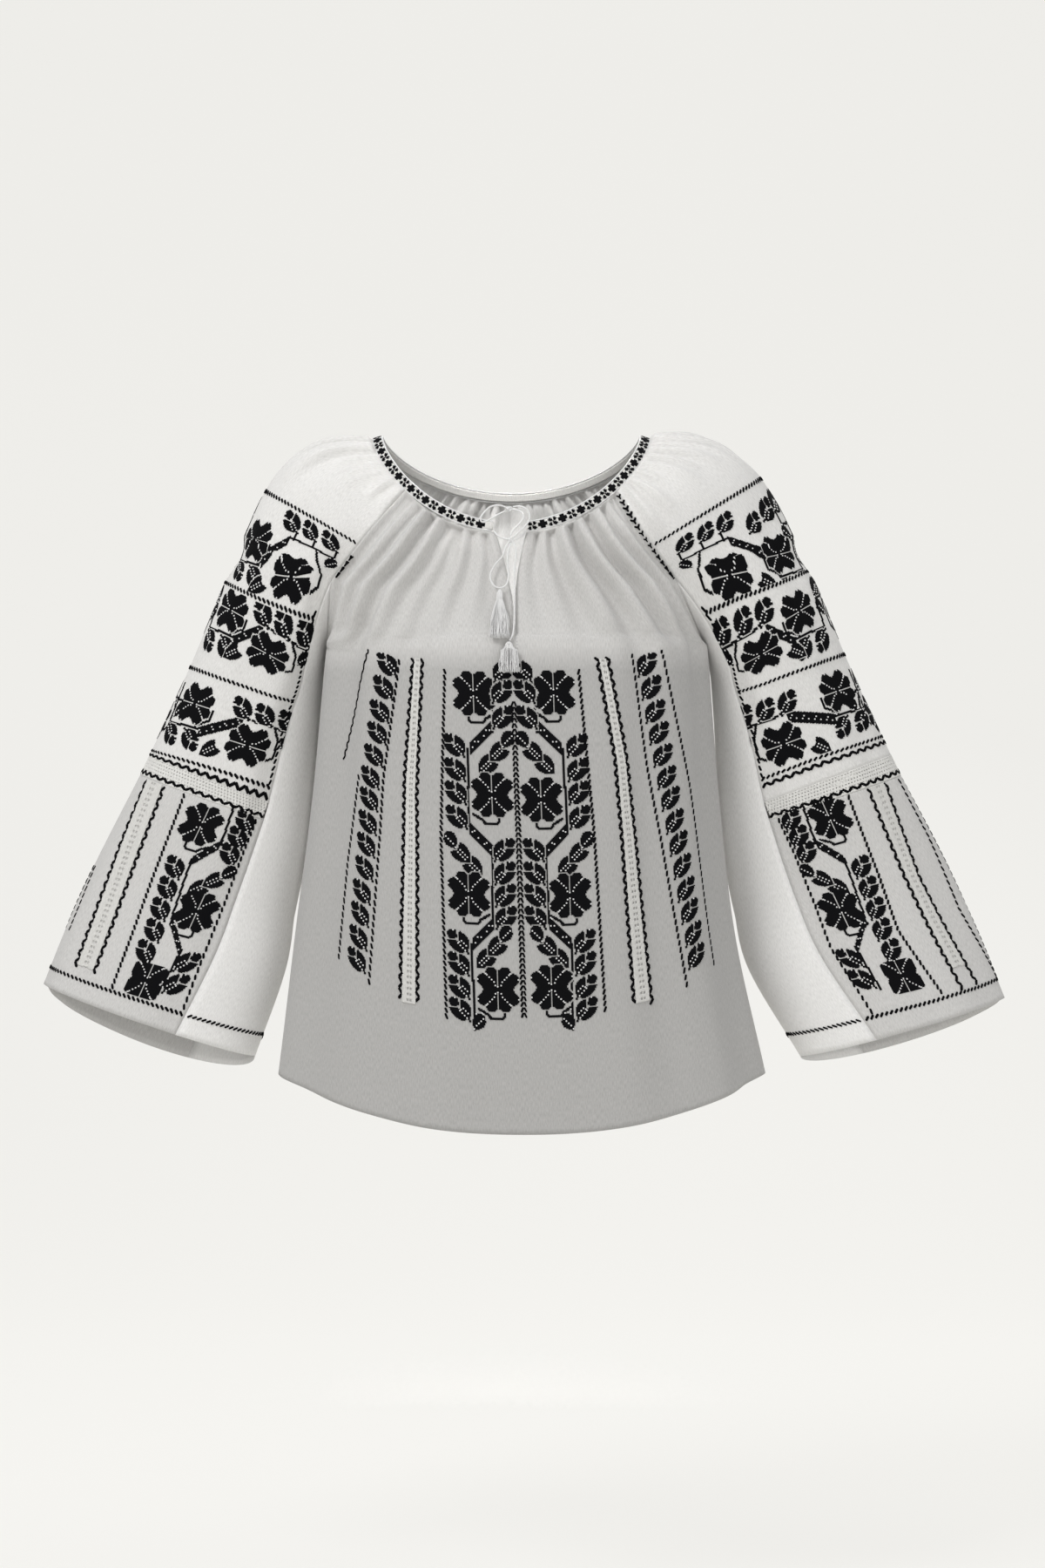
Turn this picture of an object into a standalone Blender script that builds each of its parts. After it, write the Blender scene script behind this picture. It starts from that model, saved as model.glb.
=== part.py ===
"""Romanian ie blouse, worn form: gauze panels gathered to a neck band, wide raglan sleeves, tied cord.

Metres, +Z up, front towards -Y. The origin is at the middle of the neck opening, level with the
shoulders, where the wearer holds the blouse up. "left" is the -X side and "right" is the +X side.
"""
from collections import namedtuple
from math import asin, cos, copysign, hypot, radians, sin

import bmesh
import bpy
from mathutils import Vector
from mathutils.bvhtree import BVHTree

# ---------------------------------------------------------------- driving dimensions
CLOTH = 0.0012          # wall of a gauze panel, with its body
STRIP = 0.0010          # wall of an openwork strip that lies on a panel
GAP = 0.0003            # clearance between touching pieces
FACET_SLACK = 0.0002    # more of it where one piece lies on another's facets
SEAM_PULL = 0.00018     # each panel ends this far short of a seam where it runs on smoothly
CREASE_PULL = 0.00115   # and this far short where two panels meet in a crease, near the armpit
CREASE_FADE = 0.15      # metres down the sleeve over which that crease dies out
CREASE_START = 0.2      # levels down the raglan seam between which it comes in
CREASE_FULL = 0.9
CREASE_END = 2.2        # level down the side seam at which it is gone
CLEAR = CLOTH + 0.0011  # from the middle of the body's cloth to the middle of the sleeve's
SEARCH = 0.012          # how near the body a point of the sleeve is measured against it

NECK_X = -0.0085        # middle of the neck opening, a little to the left
NECK_Y = -0.008
NECK_WIDE = 0.137       # half the width of the neck seam
NECK_DEEP = 0.092       # half its depth, front to back
NECK_TOP = -0.003       # height of the neck seam on the shoulder
NECK_DROP_FRONT = 0.099
NECK_DROP_BACK = 0.055
NECK_DROP_POWER = 1.4
RAGLAN_TURN = 48.6      # degrees round the neck from the middle of the front or back to the sleeve
SHOULDER_TURN = 90 - RAGLAN_TURN
RAGLAN_ANGLE = radians(RAGLAN_TURN)
ARMPIT_TURN = 50        # how far round its own circle half of the armpit seam goes

BAND_TALL = 0.0085
BAND_WALL = 0.0016
BAND_COLUMNS = 46
BAND_LEAN_IN = 0.95     # how the band leans: inwards on the shoulders, back at the front, and up
BAND_LEAN_BACK = 0.30
BAND_LEAN_UP = 0.30
BAND_LEAN_UP_MIDDLE = 0.65     # more upright at the middle of the front and back
BAND_END_LEFT = -0.0262  # where the band stops at the slit
BAND_END_RIGHT = 0.0068

SLIT_HALF = 0.0150      # half its gape at the neck
SLIT_ROWS = 8

FRONT_COLUMNS = 34
BACK_COLUMNS = 24
SLEEVE_COLUMNS = 20
GORE_COLUMNS = 6
RAGLAN_ROWS = 6
ARMPIT_ROWS = GORE_COLUMNS // 2
SIDE_ROWS = 9

CORD = 0.0018           # diameter of the drawstring
CORD_STEP = 0.0042      # spacing of the points along it
KNOT = 0.0052
KNOT_WIDE = 1.05        # a knot's width and depth as shares of its height
KNOT_DEEP = 0.85
TASSEL_WIDE = 0.020
TASSEL_FLAT = 0.42      # a tassel's depth as a share of its width

SIDES = {"left": -1, "right": 1}

# Levels down a body panel: 0 is the neck, 1 the front of the armpit, 2 under the arm, 3 the hem.
Seam = namedtuple("Seam", "at left right y z")
RAGLAN_FRONT = [
    Seam(0.0, -0.1113, 0.0943, -0.0688, -0.0584),
    Seam(0.5, -0.1480, 0.1200, -0.0780, -0.1010),
    Seam(1.0, -0.1840, 0.1530, -0.0610, -0.1460),
]
RAGLAN_BACK = [
    Seam(0.0, -0.1113, 0.0943, 0.0528, -0.0326),
    Seam(0.5, -0.1450, 0.1290, 0.0700, -0.0850),
    Seam(1.0, -0.1790, 0.1600, 0.0560, -0.1450),
]
SIDE_SEAM = [
    Seam(2.00, -0.1900, 0.1830, -0.0020, -0.2060),
    Seam(2.33, -0.2045, 0.1935, -0.0060, -0.3480),
    Seam(2.67, -0.2225, 0.2090, -0.0080, -0.4900),
    Seam(3.00, -0.2385, 0.2405, -0.0100, -0.6280),
]

# The middle line of a body panel, and how round its rows are: turn is the angle that half a row
# turns through, full is 1 on an ellipse and less on a squarer row, sag sharpens the dip of the row.
Middle = namedtuple("Middle", "at x y z turn full sag")
FRONT_MIDDLE = [
    Middle(0.00, -0.0085, -0.1000, -0.1020, RAGLAN_TURN, 1.00, 1.0),
    Middle(0.50, -0.0075, -0.1080, -0.1320, 58.0, 1.00, 1.0),
    Middle(1.00, -0.0060, -0.1170, -0.1640, 72.0, 0.97, 1.1),
    Middle(1.50, -0.0040, -0.1260, -0.1970, 84.0, 0.93, 1.2),
    Middle(2.00, -0.0020, -0.1330, -0.2320, 90.0, 0.90, 1.3),
    Middle(2.33, 0.0000, -0.1400, -0.3800, 90.0, 0.88, 1.7),
    Middle(2.67, 0.0020, -0.1440, -0.5290, 90.0, 0.88, 2.0),
    Middle(3.00, 0.0040, -0.1490, -0.6780, 90.0, 0.88, 2.3),
]
BACK_MIDDLE = [
    Middle(0.00, -0.0085, 0.0840, -0.0580, RAGLAN_TURN, 1.00, 1.0),
    Middle(0.50, -0.0080, 0.0940, -0.0950, 58.0, 1.00, 1.0),
    Middle(1.00, -0.0060, 0.1010, -0.1350, 72.0, 0.97, 1.1),
    Middle(1.50, -0.0040, 0.1050, -0.1740, 84.0, 0.93, 1.2),
    Middle(2.00, -0.0020, 0.1070, -0.2140, 90.0, 0.90, 1.3),
    Middle(2.33, 0.0000, 0.1030, -0.3660, 90.0, 0.88, 1.7),
    Middle(2.67, 0.0020, 0.1080, -0.5190, 90.0, 0.88, 2.0),
    Middle(3.00, 0.0040, 0.1220, -0.6700, 90.0, 0.88, 2.3),
]

# The top line of a sleeve head, from the neck over the shoulder; at is 0 at the neck, 1 at the armpit.
Crown = namedtuple("Crown", "at left right y z turn")
CROWN = [
    Crown(0.0, -0.1455, 0.1285, -0.008, -0.0030, SHOULDER_TURN),
    Crown(0.2, -0.1780, 0.1650, -0.004, -0.0022, 56.0),
    Crown(0.4, -0.2090, 0.2010, 0.000, -0.0105, 71.0),
    Crown(0.6, -0.2370, 0.2310, 0.003, -0.0300, 86.0),
    Crown(0.8, -0.2570, 0.2530, 0.005, -0.0600, 100.0),
    Crown(1.0, -0.2740, 0.2730, 0.006, -0.0980, 112.0),
]

# Rings down the sleeve: at is metres down the outer line from the armpit level. Each ring goes
# through its outer and inner points; turn is the angle from the outer point to the gore's seam.
# At the cuff the back hangs lower by drop, and the outer side of one cuff reaches further by lip.
Ring = namedtuple("Ring", "at outer outer_z inner_left inner_right inner_z y deep turn drop_left drop_right "
                          "lip_left lip_right")
SLEEVE = [
    Ring(0.000, 0.2735, -0.0980, 0.1918, 0.1848, -0.2062, 0.006, 0.064, 112, 0.000, 0.000, 0, 0.000),
    Ring(0.049, 0.2940, -0.1430, 0.1975, 0.1920, -0.2420, 0.012, 0.062, 134, 0.000, 0.000, 0, 0.000),
    Ring(0.139, 0.3295, -0.2262, 0.2050, 0.1985, -0.3050, 0.020, 0.060, 127, 0.000, 0.000, 0, 0.000),
    Ring(0.240, 0.3715, -0.3170, 0.2120, 0.2030, -0.3780, 0.024, 0.058, 123, 0.000, 0.000, 0, 0.000),
    Ring(0.259, 0.3797, -0.3340, 0.2135, 0.2045, -0.3930, 0.024, 0.058, 122, 0.000, 0.000, 0, 0.001),
    Ring(0.351, 0.4220, -0.4170, 0.2255, 0.2150, -0.4720, 0.022, 0.059, 117, 0.002, 0.002, 0, 0.005),
    Ring(0.415, 0.4480, -0.4750, 0.2345, 0.2290, -0.5300, 0.015, 0.061, 113, 0.010, 0.008, 0, 0.009),
    Ring(0.488, 0.4740, -0.5430, 0.2645, 0.2800, -0.6150, 0.002, 0.063, 108, 0.034, 0.024, 0, 0.016),
]
LIP_OUT = 0.36          # sideways share of the lip's direction, which is that of the sleeve
LIP_DOWN = 0.93
ARMPIT_FADE = 0.060     # metres over which the gore's seams swing from the armpit onto the rings
ARMPIT_JOIN = 0.050     # metres over which the rings take over from the seams above them
HEAD_LEVELS = (0.0, 0.020, 0.049, 0.090, 0.139, 0.190, 0.240)   # rows from the armpit to the lace ring
RINGS_LOWER = 7         # rows from the lace ring to the cuff
LACE_TOP = HEAD_LEVELS[-1]
LACE_BOTTOM = 0.259
CUFF = 0.488

# Soft ridges of the gathers: across is -1 at the left seam and 1 at the right, half is half the
# ridge's width in the same unit, deep is how far it stands out, and it runs between two levels.
Fold = namedtuple("Fold", "across half deep start reach")
FOLD_RISE = 0.35        # levels over which a fold rises from the neck seam
FOLD_HOLD = 0.45        # share of its length after which it sinks again
FOLD_EDGE = 0.86        # how far across a panel the folds keep their height
STEP_ACROSS = 0.01      # step for measuring a surface's direction
FRONT_FOLDS = [
    Fold(-0.84, 0.085, 0.0046, 0.05, 2.35),
    Fold(-0.63, 0.075, 0.0042, 0.00, 1.90),
    Fold(-0.44, 0.070, 0.0050, 0.02, 2.10),
    Fold(-0.27, 0.060, 0.0036, 0.00, 1.70),
    Fold(-0.13, 0.045, 0.0026, 0.10, 1.50),
    Fold(0.16, 0.050, 0.0028, 0.05, 1.55),
    Fold(0.33, 0.060, 0.0038, 0.00, 1.75),
    Fold(0.52, 0.065, 0.0048, 0.03, 2.20),
    Fold(0.70, 0.060, 0.0040, 0.00, 1.95),
    Fold(0.87, 0.070, 0.0042, 0.08, 2.40),
]
BACK_FOLDS = [
    Fold(-0.80, 0.090, 0.0045, 0.02, 2.20),
    Fold(-0.53, 0.080, 0.0040, 0.00, 1.80),
    Fold(-0.28, 0.075, 0.0048, 0.05, 2.05),
    Fold(-0.03, 0.070, 0.0036, 0.00, 1.70),
    Fold(0.22, 0.080, 0.0046, 0.04, 2.15),
    Fold(0.50, 0.075, 0.0038, 0.00, 1.75),
    Fold(0.78, 0.090, 0.0044, 0.06, 2.25),
]
HEAD_FOLDS = [
    Fold(-0.66, 0.130, 0.0040, 0.00, 0.85),
    Fold(-0.30, 0.110, 0.0030, 0.05, 0.70),
    Fold(0.30, 0.120, 0.0032, 0.00, 0.75),
    Fold(0.66, 0.130, 0.0040, 0.03, 0.90),
]

# Openwork strips: how far from the panel's middle, as a share across, at three levels.
Lane = namedtuple("Lane", "at across")
FRONT_LANES = {
    "left": [Lane(1.97, -0.326), Lane(2.27, -0.360), Lane(2.78, -0.293)],
    "right": [Lane(1.97, 0.260), Lane(2.22, 0.335), Lane(2.78, 0.320)],
}
FRONT_LANE_HALF = 0.0065
SLEEVE_LANES = {
    "left": [Lane(0.259, -0.326), Lane(0.363, -0.400), Lane(0.470, -0.443)],
    "right": [Lane(0.259, -0.375), Lane(0.355, -0.435), Lane(0.470, -0.395)],
}
SLEEVE_LANE_HALF = 0.0080

# Drawstring routes: x and z of each point, and how far in front of the front panel it passes.
Stop = namedtuple("Stop", "x z out")
KNOT_LOW = Stop(-0.0086, -0.1096, 0.0030)
KNOT_BOW = Stop(-0.0101, -0.0800, 0.0030)
TIE_LEFT = [
    Stop(-0.0252, -0.1004, 0.0004), Stop(-0.0222, -0.1046, 0.0012), Stop(-0.0168, -0.1082, 0.0025),
    Stop(-0.0120, -0.1094, 0.0030),
]
TIE_RIGHT = [
    Stop(0.0060, -0.1004, 0.0004), Stop(0.0040, -0.1046, 0.0012), Stop(-0.0006, -0.1082, 0.0025),
    Stop(-0.0053, -0.1100, 0.0030),
]
STRAND_INNER = [
    Stop(-0.0090, -0.1064, 0.0036), Stop(-0.0062, -0.1006, 0.0050), Stop(-0.0008, -0.0952, 0.0060),
    Stop(0.0036, -0.0888, 0.0060), Stop(0.0018, -0.0836, 0.0052), Stop(-0.0030, -0.0812, 0.0042),
    Stop(-0.0066, -0.0806, 0.0034),
]
STRAND_OUTER = [
    Stop(-0.0062, -0.1074, 0.0036), Stop(-0.0010, -0.1026, 0.0050), Stop(0.0054, -0.0966, 0.0060),
    Stop(0.0094, -0.0902, 0.0060), Stop(0.0082, -0.0826, 0.0056), Stop(0.0030, -0.0784, 0.0050),
    Stop(-0.0034, -0.0776, 0.0040), Stop(-0.0068, -0.0786, 0.0034),
]
EAR_LEFT = [
    Stop(-0.0134, -0.0788, 0.0034), Stop(-0.0190, -0.0768, 0.0046), Stop(-0.0270, -0.0778, 0.0054),
    Stop(-0.0340, -0.0832, 0.0056), Stop(-0.0380, -0.0898, 0.0052), Stop(-0.0356, -0.0930, 0.0048),
    Stop(-0.0296, -0.0908, 0.0044), Stop(-0.0224, -0.0864, 0.0040), Stop(-0.0136, -0.0818, 0.0034),
]
TAIL_LEFT = [
    Stop(-0.0112, -0.1118, 0.0034), Stop(-0.0142, -0.1190, 0.0042), Stop(-0.0166, -0.1262, 0.0042),
    Stop(-0.0238, -0.1346, 0.0036), Stop(-0.0284, -0.1450, 0.0030), Stop(-0.0256, -0.1540, 0.0036),
    Stop(-0.0190, -0.1572, 0.0044), Stop(-0.0128, -0.1538, 0.0040), Stop(-0.0108, -0.1430, 0.0036),
    Stop(-0.0120, -0.1310, 0.0044), Stop(-0.0110, -0.1210, 0.0046), Stop(-0.0088, -0.1129, 0.0036),
]
TAIL_RIGHT = [
    Stop(-0.0064, -0.1120, 0.0034), Stop(-0.0036, -0.1200, 0.0036), Stop(-0.0046, -0.1330, 0.0026),
    Stop(-0.0052, -0.1480, 0.0020), Stop(-0.0050, -0.1640, 0.0018), Stop(-0.0052, -0.1800, 0.0020),
    Stop(-0.0058, -0.1960, 0.0026), Stop(-0.0070, -0.2030, 0.0034), Stop(-0.0100, -0.2088, 0.0042),
]
TASSEL_TOPS = {"upper": Stop(-0.0192, -0.1586, 0.0012), "lower": Stop(-0.0106, -0.2092, 0.0010)}
TASSEL_TALL = {"upper": 0.0480, "lower": 0.0300}
TASSEL_PROFILE = [
    (0.00, 0.06), (0.04, 0.22), (0.12, 0.30), (0.17, 0.22), (0.30, 0.46), (0.60, 0.82), (1.00, 1.00),
]

Finish = namedtuple("Finish", "red green blue roughness")
FINISHES = {
    "gauze": Finish(0.70, 0.69, 0.67, 0.85),
    "worked": Finish(0.46, 0.45, 0.44, 0.80),
    "lace": Finish(0.78, 0.77, 0.75, 0.82),
    "band": Finish(0.35, 0.34, 0.33, 0.80),
    "cord": Finish(0.82, 0.81, 0.79, 0.70),
}


# ---------------------------------------------------------------- helpers
def read(rows, column, at):
    """Value of a column at a level, on a smooth curve through the table's rows."""
    levels = [row.at for row in rows]
    values = [getattr(row, column) for row in rows]
    at = min(max(at, levels[0]), levels[-1])
    last = len(rows) - 2
    i = min(sum(at > level for level in levels[1:]), last)
    slopes = []
    for k in range(len(rows)):
        low = max(k - 1, 0)
        high = min(k + 1, len(rows) - 1)
        slopes.append((values[high] - values[low]) / (levels[high] - levels[low]))
    span = levels[i + 1] - levels[i]
    t = (at - levels[i]) / span
    blend = t * t * (3 - 2 * t)
    start = span * slopes[i] * t * (1 - t) ** 2
    end = span * slopes[i + 1] * t * t * (1 - t)
    return values[i] * (1 - blend) + values[i + 1] * blend + start - end


def ease(low, high, value):
    """0 below low, 1 above high, smooth between."""
    t = min(max((value - low) / (high - low), 0.0), 1.0)
    return t * t * (3 - 2 * t)


def arch(start, top, end, turn, across, full=1.0, sag=1.0):
    """Point on a part-ellipse from start (-1) through top (0) to end (1), turning by turn each way."""
    angle = across * radians(turn)
    rim = cos(radians(turn))
    rim = copysign(abs(rim) ** full, rim)
    high = cos(angle)
    high = copysign(abs(high) ** full, high)
    lift = (high - rim) / (1 - rim)
    side = copysign((abs(sin(angle)) / sin(radians(turn))) ** full, across)
    middle = (start + end) / 2
    point = middle + (top - middle) * lift + (end - start) / 2 * side
    point.z += (top.z - middle.z) * (max(lift, 0.0) ** sag - lift)
    return point


def neckline(angle):
    """Point of the neck seam; angle is 0 at the middle of the front and grows towards the right."""
    towards = cos(angle)
    drop = NECK_DROP_FRONT if towards > 0 else NECK_DROP_BACK
    return Vector((NECK_X + NECK_WIDE * sin(angle), NECK_Y - NECK_DEEP * towards,
                   NECK_TOP - drop * abs(towards) ** NECK_DROP_POWER))


def seam_point(rows, side, at):
    return Vector((read(rows, side, at), read(rows, "y", at), read(rows, "z", at)))


def fold_height(folds, across, down):
    """How far the gathers lift the cloth at one place; it dies out at the neck and at the seams."""
    height = 0.0
    for fold in folds:
        offset = (across - fold.across) / fold.half
        if abs(offset) < 2:
            ridge = (1 + cos(radians(90 * offset))) / 2
            rise = ease(fold.start, fold.start + FOLD_RISE, down)
            sink = fold.start + FOLD_HOLD * (fold.reach - fold.start)
            height += fold.deep * ridge * rise * (1 - ease(sink, fold.reach, down))
    return height * (1 - ease(FOLD_EDGE, 1.0, abs(across)))


def folded(base, folds, facing):
    """The surface base(across, down) with its folds standing out along its normal."""
    def surface(across, down):
        point = base(across, down)
        height = fold_height(folds, across, down)
        if height == 0.0:
            return point
        along = base(across + STEP_ACROSS, down) - base(across - STEP_ACROSS, down)
        below = base(across, down + STEP_ACROSS) - base(across, down - STEP_ACROSS)
        return point + below.cross(along).normalized() * height * facing
    return surface


# ---------------------------------------------------------------- surfaces
def gore_top(side, across):
    """The armpit seam: from the front raglan seam (-1) under the arm (0) to the back one (1)."""
    front = seam_point(RAGLAN_FRONT, side, 1)
    under = seam_point(SIDE_SEAM, side, 2)
    back = seam_point(RAGLAN_BACK, side, 1)
    return arch(front, under, back, ARMPIT_TURN, across)


def body_edge(raglan, side, down, towards):
    """The outer edge of a body panel: raglan seam, armpit seam, side seam."""
    if down <= 1:
        return seam_point(raglan, side, down)
    if down <= 2:
        return gore_top(side, towards * (2 - down))
    return seam_point(SIDE_SEAM, side, down)


def body_surface(middle_rows, raglan, towards):
    """Front (towards -1) or back (towards 1) of the body, before its folds."""
    def surface(across, down):
        down = min(max(down, 0.0), 3.0)
        left = body_edge(raglan, "left", down, towards)
        right = body_edge(raglan, "right", down, towards)
        middle = Vector([read(middle_rows, column, down) for column in ("x", "y", "z")])
        turn = read(middle_rows, "turn", down)
        full = read(middle_rows, "full", down)
        sag = read(middle_rows, "sag", down)
        point = arch(left, middle, right, turn, across, full, sag)
        if down < 1:
            angle = across * RAGLAN_ANGLE
            rim = neckline(angle if towards < 0 else radians(180) - angle)
            left, middle, right = (neckline(a if towards < 0 else radians(180) - a)
                                   for a in (-RAGLAN_ANGLE, 0.0, RAGLAN_ANGLE))
            point += (rim - arch(left, middle, right, RAGLAN_TURN, across)) * (1 - ease(0, 1, down))
        return point
    return surface


def sleeve_ring(side, down):
    """Outer, inner, front-seam and back-seam points of one sleeve ring."""
    sign = SIDES[side]
    y = read(SLEEVE, "y", down)
    outer = Vector((sign * read(SLEEVE, "outer", down), y, read(SLEEVE, "outer_z", down)))
    inner = Vector((sign * read(SLEEVE, "inner_" + side, down), y, read(SLEEVE, "inner_z", down)))
    turn = radians(read(SLEEVE, "turn", down))
    deep = read(SLEEVE, "deep", down)
    middle = (outer + inner) / 2 + (outer - inner) / 2 * cos(turn)
    front = middle + Vector((0, -deep * sin(turn), 0))
    back = middle + Vector((0, deep * sin(turn), 0))
    fade = max(0.0, 1 - down / ARMPIT_FADE) ** 2
    if fade > 0:
        ends = [seam_point(RAGLAN_FRONT, side, 1), seam_point(RAGLAN_BACK, side, 1)]
        front_top = sleeve_ends_at_armpit(side)
        front += (ends[0] - front_top[0]) * fade
        back += (ends[1] - front_top[1]) * fade
        inner += (seam_point(SIDE_SEAM, side, 2) - inner) * fade ** 3
    return outer, inner, front, back


def sleeve_ends_at_armpit(side):
    """Where the first ring's own ellipse would put the two gore seams."""
    first = SLEEVE[0]
    sign = SIDES[side]
    inner = getattr(first, "inner_" + side)
    turn = radians(first.turn)
    x = sign * ((first.outer + inner) / 2 + (first.outer - inner) / 2 * cos(turn))
    z = (first.outer_z + first.inner_z) / 2 + (first.outer_z - first.inner_z) / 2 * cos(turn)
    reach = first.deep * sin(turn)
    return Vector((x, first.y - reach, z)), Vector((x, first.y + reach, z))


def cuff_drop(side, angle, down):
    """How far the cuff hangs beyond its ring; angle is 0 at the outer point and positive at the back."""
    drop = read(SLEEVE, "drop_" + side, down) * max(sin(angle), 0.0)
    lip = read(SLEEVE, "lip_" + side, down) * (1 + cos(angle)) / 2
    return Vector((SIDES[side] * LIP_OUT * lip, 0, -drop - LIP_DOWN * lip))


def sleeve_surface(side):
    """Main cloth of a sleeve; down is -1 at the neck, 0 at the armpit, then metres down the sleeve."""
    def surface(across, down):
        if down < 0:
            at = 1 + down
            front = seam_point(RAGLAN_FRONT, side, at)
            back = seam_point(RAGLAN_BACK, side, at)
            top = Vector((read(CROWN, side, at), read(CROWN, "y", at), read(CROWN, "z", at)))
            turn = read(CROWN, "turn", at)
            point = arch(front, top, back, turn, across)
            sign = SIDES[side]
            swing = sign * (radians(90) + across * (radians(90) - RAGLAN_ANGLE))
            ends = [neckline(sign * a) for a in (RAGLAN_ANGLE, radians(90), radians(180) - RAGLAN_ANGLE)]
            own = arch(ends[0], ends[1], ends[2], SHOULDER_TURN, across)
            point += (neckline(swing) - own) * (1 - ease(0, 1, at))
            return point
        down = min(down, CUFF)
        outer, _, front, back = sleeve_ring(side, down)
        turn = read(SLEEVE, "turn", down)
        outer.x += (read(CROWN, side, 1) - outer.x) * (1 - ease(0, ARMPIT_JOIN, down))
        return arch(front, outer, back, turn, across) + cuff_drop(side, across * radians(turn), down)
    return surface


def gore_surface(side):
    """The plain wedge under the arm: from the front gore seam (-1) to the back one (1)."""
    def surface(across, down):
        down = min(max(down, 0.0), CUFF)
        _, inner, front, back = sleeve_ring(side, down)
        if down == 0:
            point = gore_top(side, across)
        else:
            turn = 180 - read(SLEEVE, "turn", down)
            turn += (ARMPIT_TURN - turn) * (1 - ease(0, ARMPIT_JOIN, down))
            point = arch(front, inner, back, turn, across)
        swing = radians(180) - across * radians(180 - read(SLEEVE, "turn", down))
        return point + cuff_drop(side, swing, down)
    return surface


# ---------------------------------------------------------------- building
def material(name):
    finish = FINISHES[name]
    made = bpy.data.materials.get(name)
    if made is None:
        made = bpy.data.materials.new(name)
        made.use_nodes = True
        shader = made.node_tree.nodes["Principled BSDF"]
        shader.inputs["Base Color"].default_value = (finish.red, finish.green, finish.blue, 1)
        shader.inputs["Roughness"].default_value = finish.roughness
        shader.inputs["Metallic"].default_value = 0.0
    return made


def clear_scene():
    for thing in list(bpy.data.objects):
        bpy.data.objects.remove(thing, do_unlink=True)


def keep(thing, finish):
    bpy.data.collections["romanian_ie_blouse"].objects.link(thing)
    thing.data.materials.append(material(finish))
    return thing


def body_pull(down):
    """How far a body panel ends short of its side edge at a level."""
    crease = ease(CREASE_START, CREASE_FULL, down) * (1 - ease(2, CREASE_END, down))
    return SEAM_PULL + (CREASE_PULL - SEAM_PULL) * crease


def sleeve_pull(down):
    """The same for the sleeve, whose levels are -1 at the neck and metres below the armpit."""
    crease = ease(CREASE_START, CREASE_FULL, 1 + down) * (1 - ease(CREASE_FADE / 3, CREASE_FADE, down))
    return SEAM_PULL + (CREASE_PULL - SEAM_PULL) * crease


def grid_points(surface, columns, downs, pull):
    """Rows of points over a surface, pulled in a little along its four edges."""
    rows = []
    for down in downs:
        rows.append([surface(2 * i / columns - 1, down) for i in range(columns + 1)])
    for row, down in zip(rows, downs):
        row[0] += (row[1] - row[0]).normalized() * pull(down)
        row[-1] += (row[-2] - row[-1]).normalized() * pull(down)
    for i in range(columns + 1):
        rows[0][i] += (rows[1][i] - rows[0][i]).normalized() * SEAM_PULL
        rows[-1][i] += (rows[-2][i] - rows[-1][i]).normalized() * SEAM_PULL
    return rows


def grid_place(vertex, columns, rows):
    """Column and row of a vertex of a flat grid 2 wide and 2 tall, counted from its top left."""
    return round((vertex.co.x + 1) / 2 * columns), round((1 - vertex.co.y) / 2 * rows)


def wall(name, rows, thickness, finish, slit_rows=0):
    """A cloth wall: a flat grid whose points are moved to the given rows, then given its thickness."""
    columns = len(rows[0]) - 1
    shape = bmesh.new()
    bmesh.ops.create_grid(shape, x_segments=columns, y_segments=len(rows) - 1, size=1)
    if slit_rows:
        split_middle(shape, columns, len(rows) - 1, slit_rows)
    places = {}
    for vertex in shape.verts:
        i, j = grid_place(vertex, columns, len(rows) - 1)
        point = rows[j][i].copy()
        if j < slit_rows:
            gape = SLIT_HALF * (1 - j / slit_rows) + GAP
            leaning = sum(face.calc_center_median().x for face in vertex.link_faces)
            point.x += copysign(gape, leaning) * (1 - abs(2 * i / columns - 1))
        places[vertex] = point
    for vertex, point in places.items():
        vertex.co = point
    mesh = bpy.data.meshes.new(name)
    shape.to_mesh(mesh)
    shape.free()
    thing = bpy.data.objects.new(name, mesh)
    solid = thing.modifiers.new("wall", "SOLIDIFY")
    solid.thickness = thickness
    solid.offset = 0
    solid.use_even_offset = True
    return keep(thing, finish)


def split_middle(shape, columns, rows, slit_rows):
    """Cut the flat grid along its middle column, from the top row down to the end of the slit."""
    cut = []
    for edge in shape.edges:
        ends = [grid_place(vertex, columns, rows) for vertex in edge.verts]
        if all(i == columns // 2 and j <= slit_rows for i, j in ends):
            cut.append(edge)
    bmesh.ops.split_edges(shape, edges=cut)


def faces_of(rows):
    """The grid's corners and quads, as a surface to measure from."""
    columns = len(rows[0])
    points = [point for row in rows for point in row]
    quads = []
    for j in range(len(rows) - 1):
        for i in range(columns - 1):
            corner = j * columns + i
            quads.append((corner, corner + 1, corner + columns + 1, corner + columns))
    return points, quads


def clear_of(rows, downs, body):
    """Move the points of a sleeve that lie too near the body out to where the cloths just clear."""
    for row, down in zip(rows, downs):
        if down < 0:
            continue
        for point in row:
            for tree in body:
                near, normal, _, _ = tree.find_nearest(point, SEARCH)
                if near is None:
                    continue
                if normal.dot(Vector((near.x, near.y - NECK_Y, 0))) < 0:
                    normal = -normal
                short = CLEAR - (point - near).dot(normal)
                point += normal * max(short, 0.0)


def levels(start, end, count):
    return [start + (end - start) * k / count for k in range(count + 1)]


def body_downs():
    downs = levels(0, 1, RAGLAN_ROWS) + levels(1, 2, ARMPIT_ROWS)[1:]
    return downs + levels(2, 3, SIDE_ROWS)[1:]


def between_columns(row, across):
    """Point on a row of panel points, part of the way between two of its columns."""
    columns = len(row) - 1
    place = (across + 1) / 2 * columns
    i = min(int(place), columns - 1)
    return row[i].lerp(row[i + 1], place - i)


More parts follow.
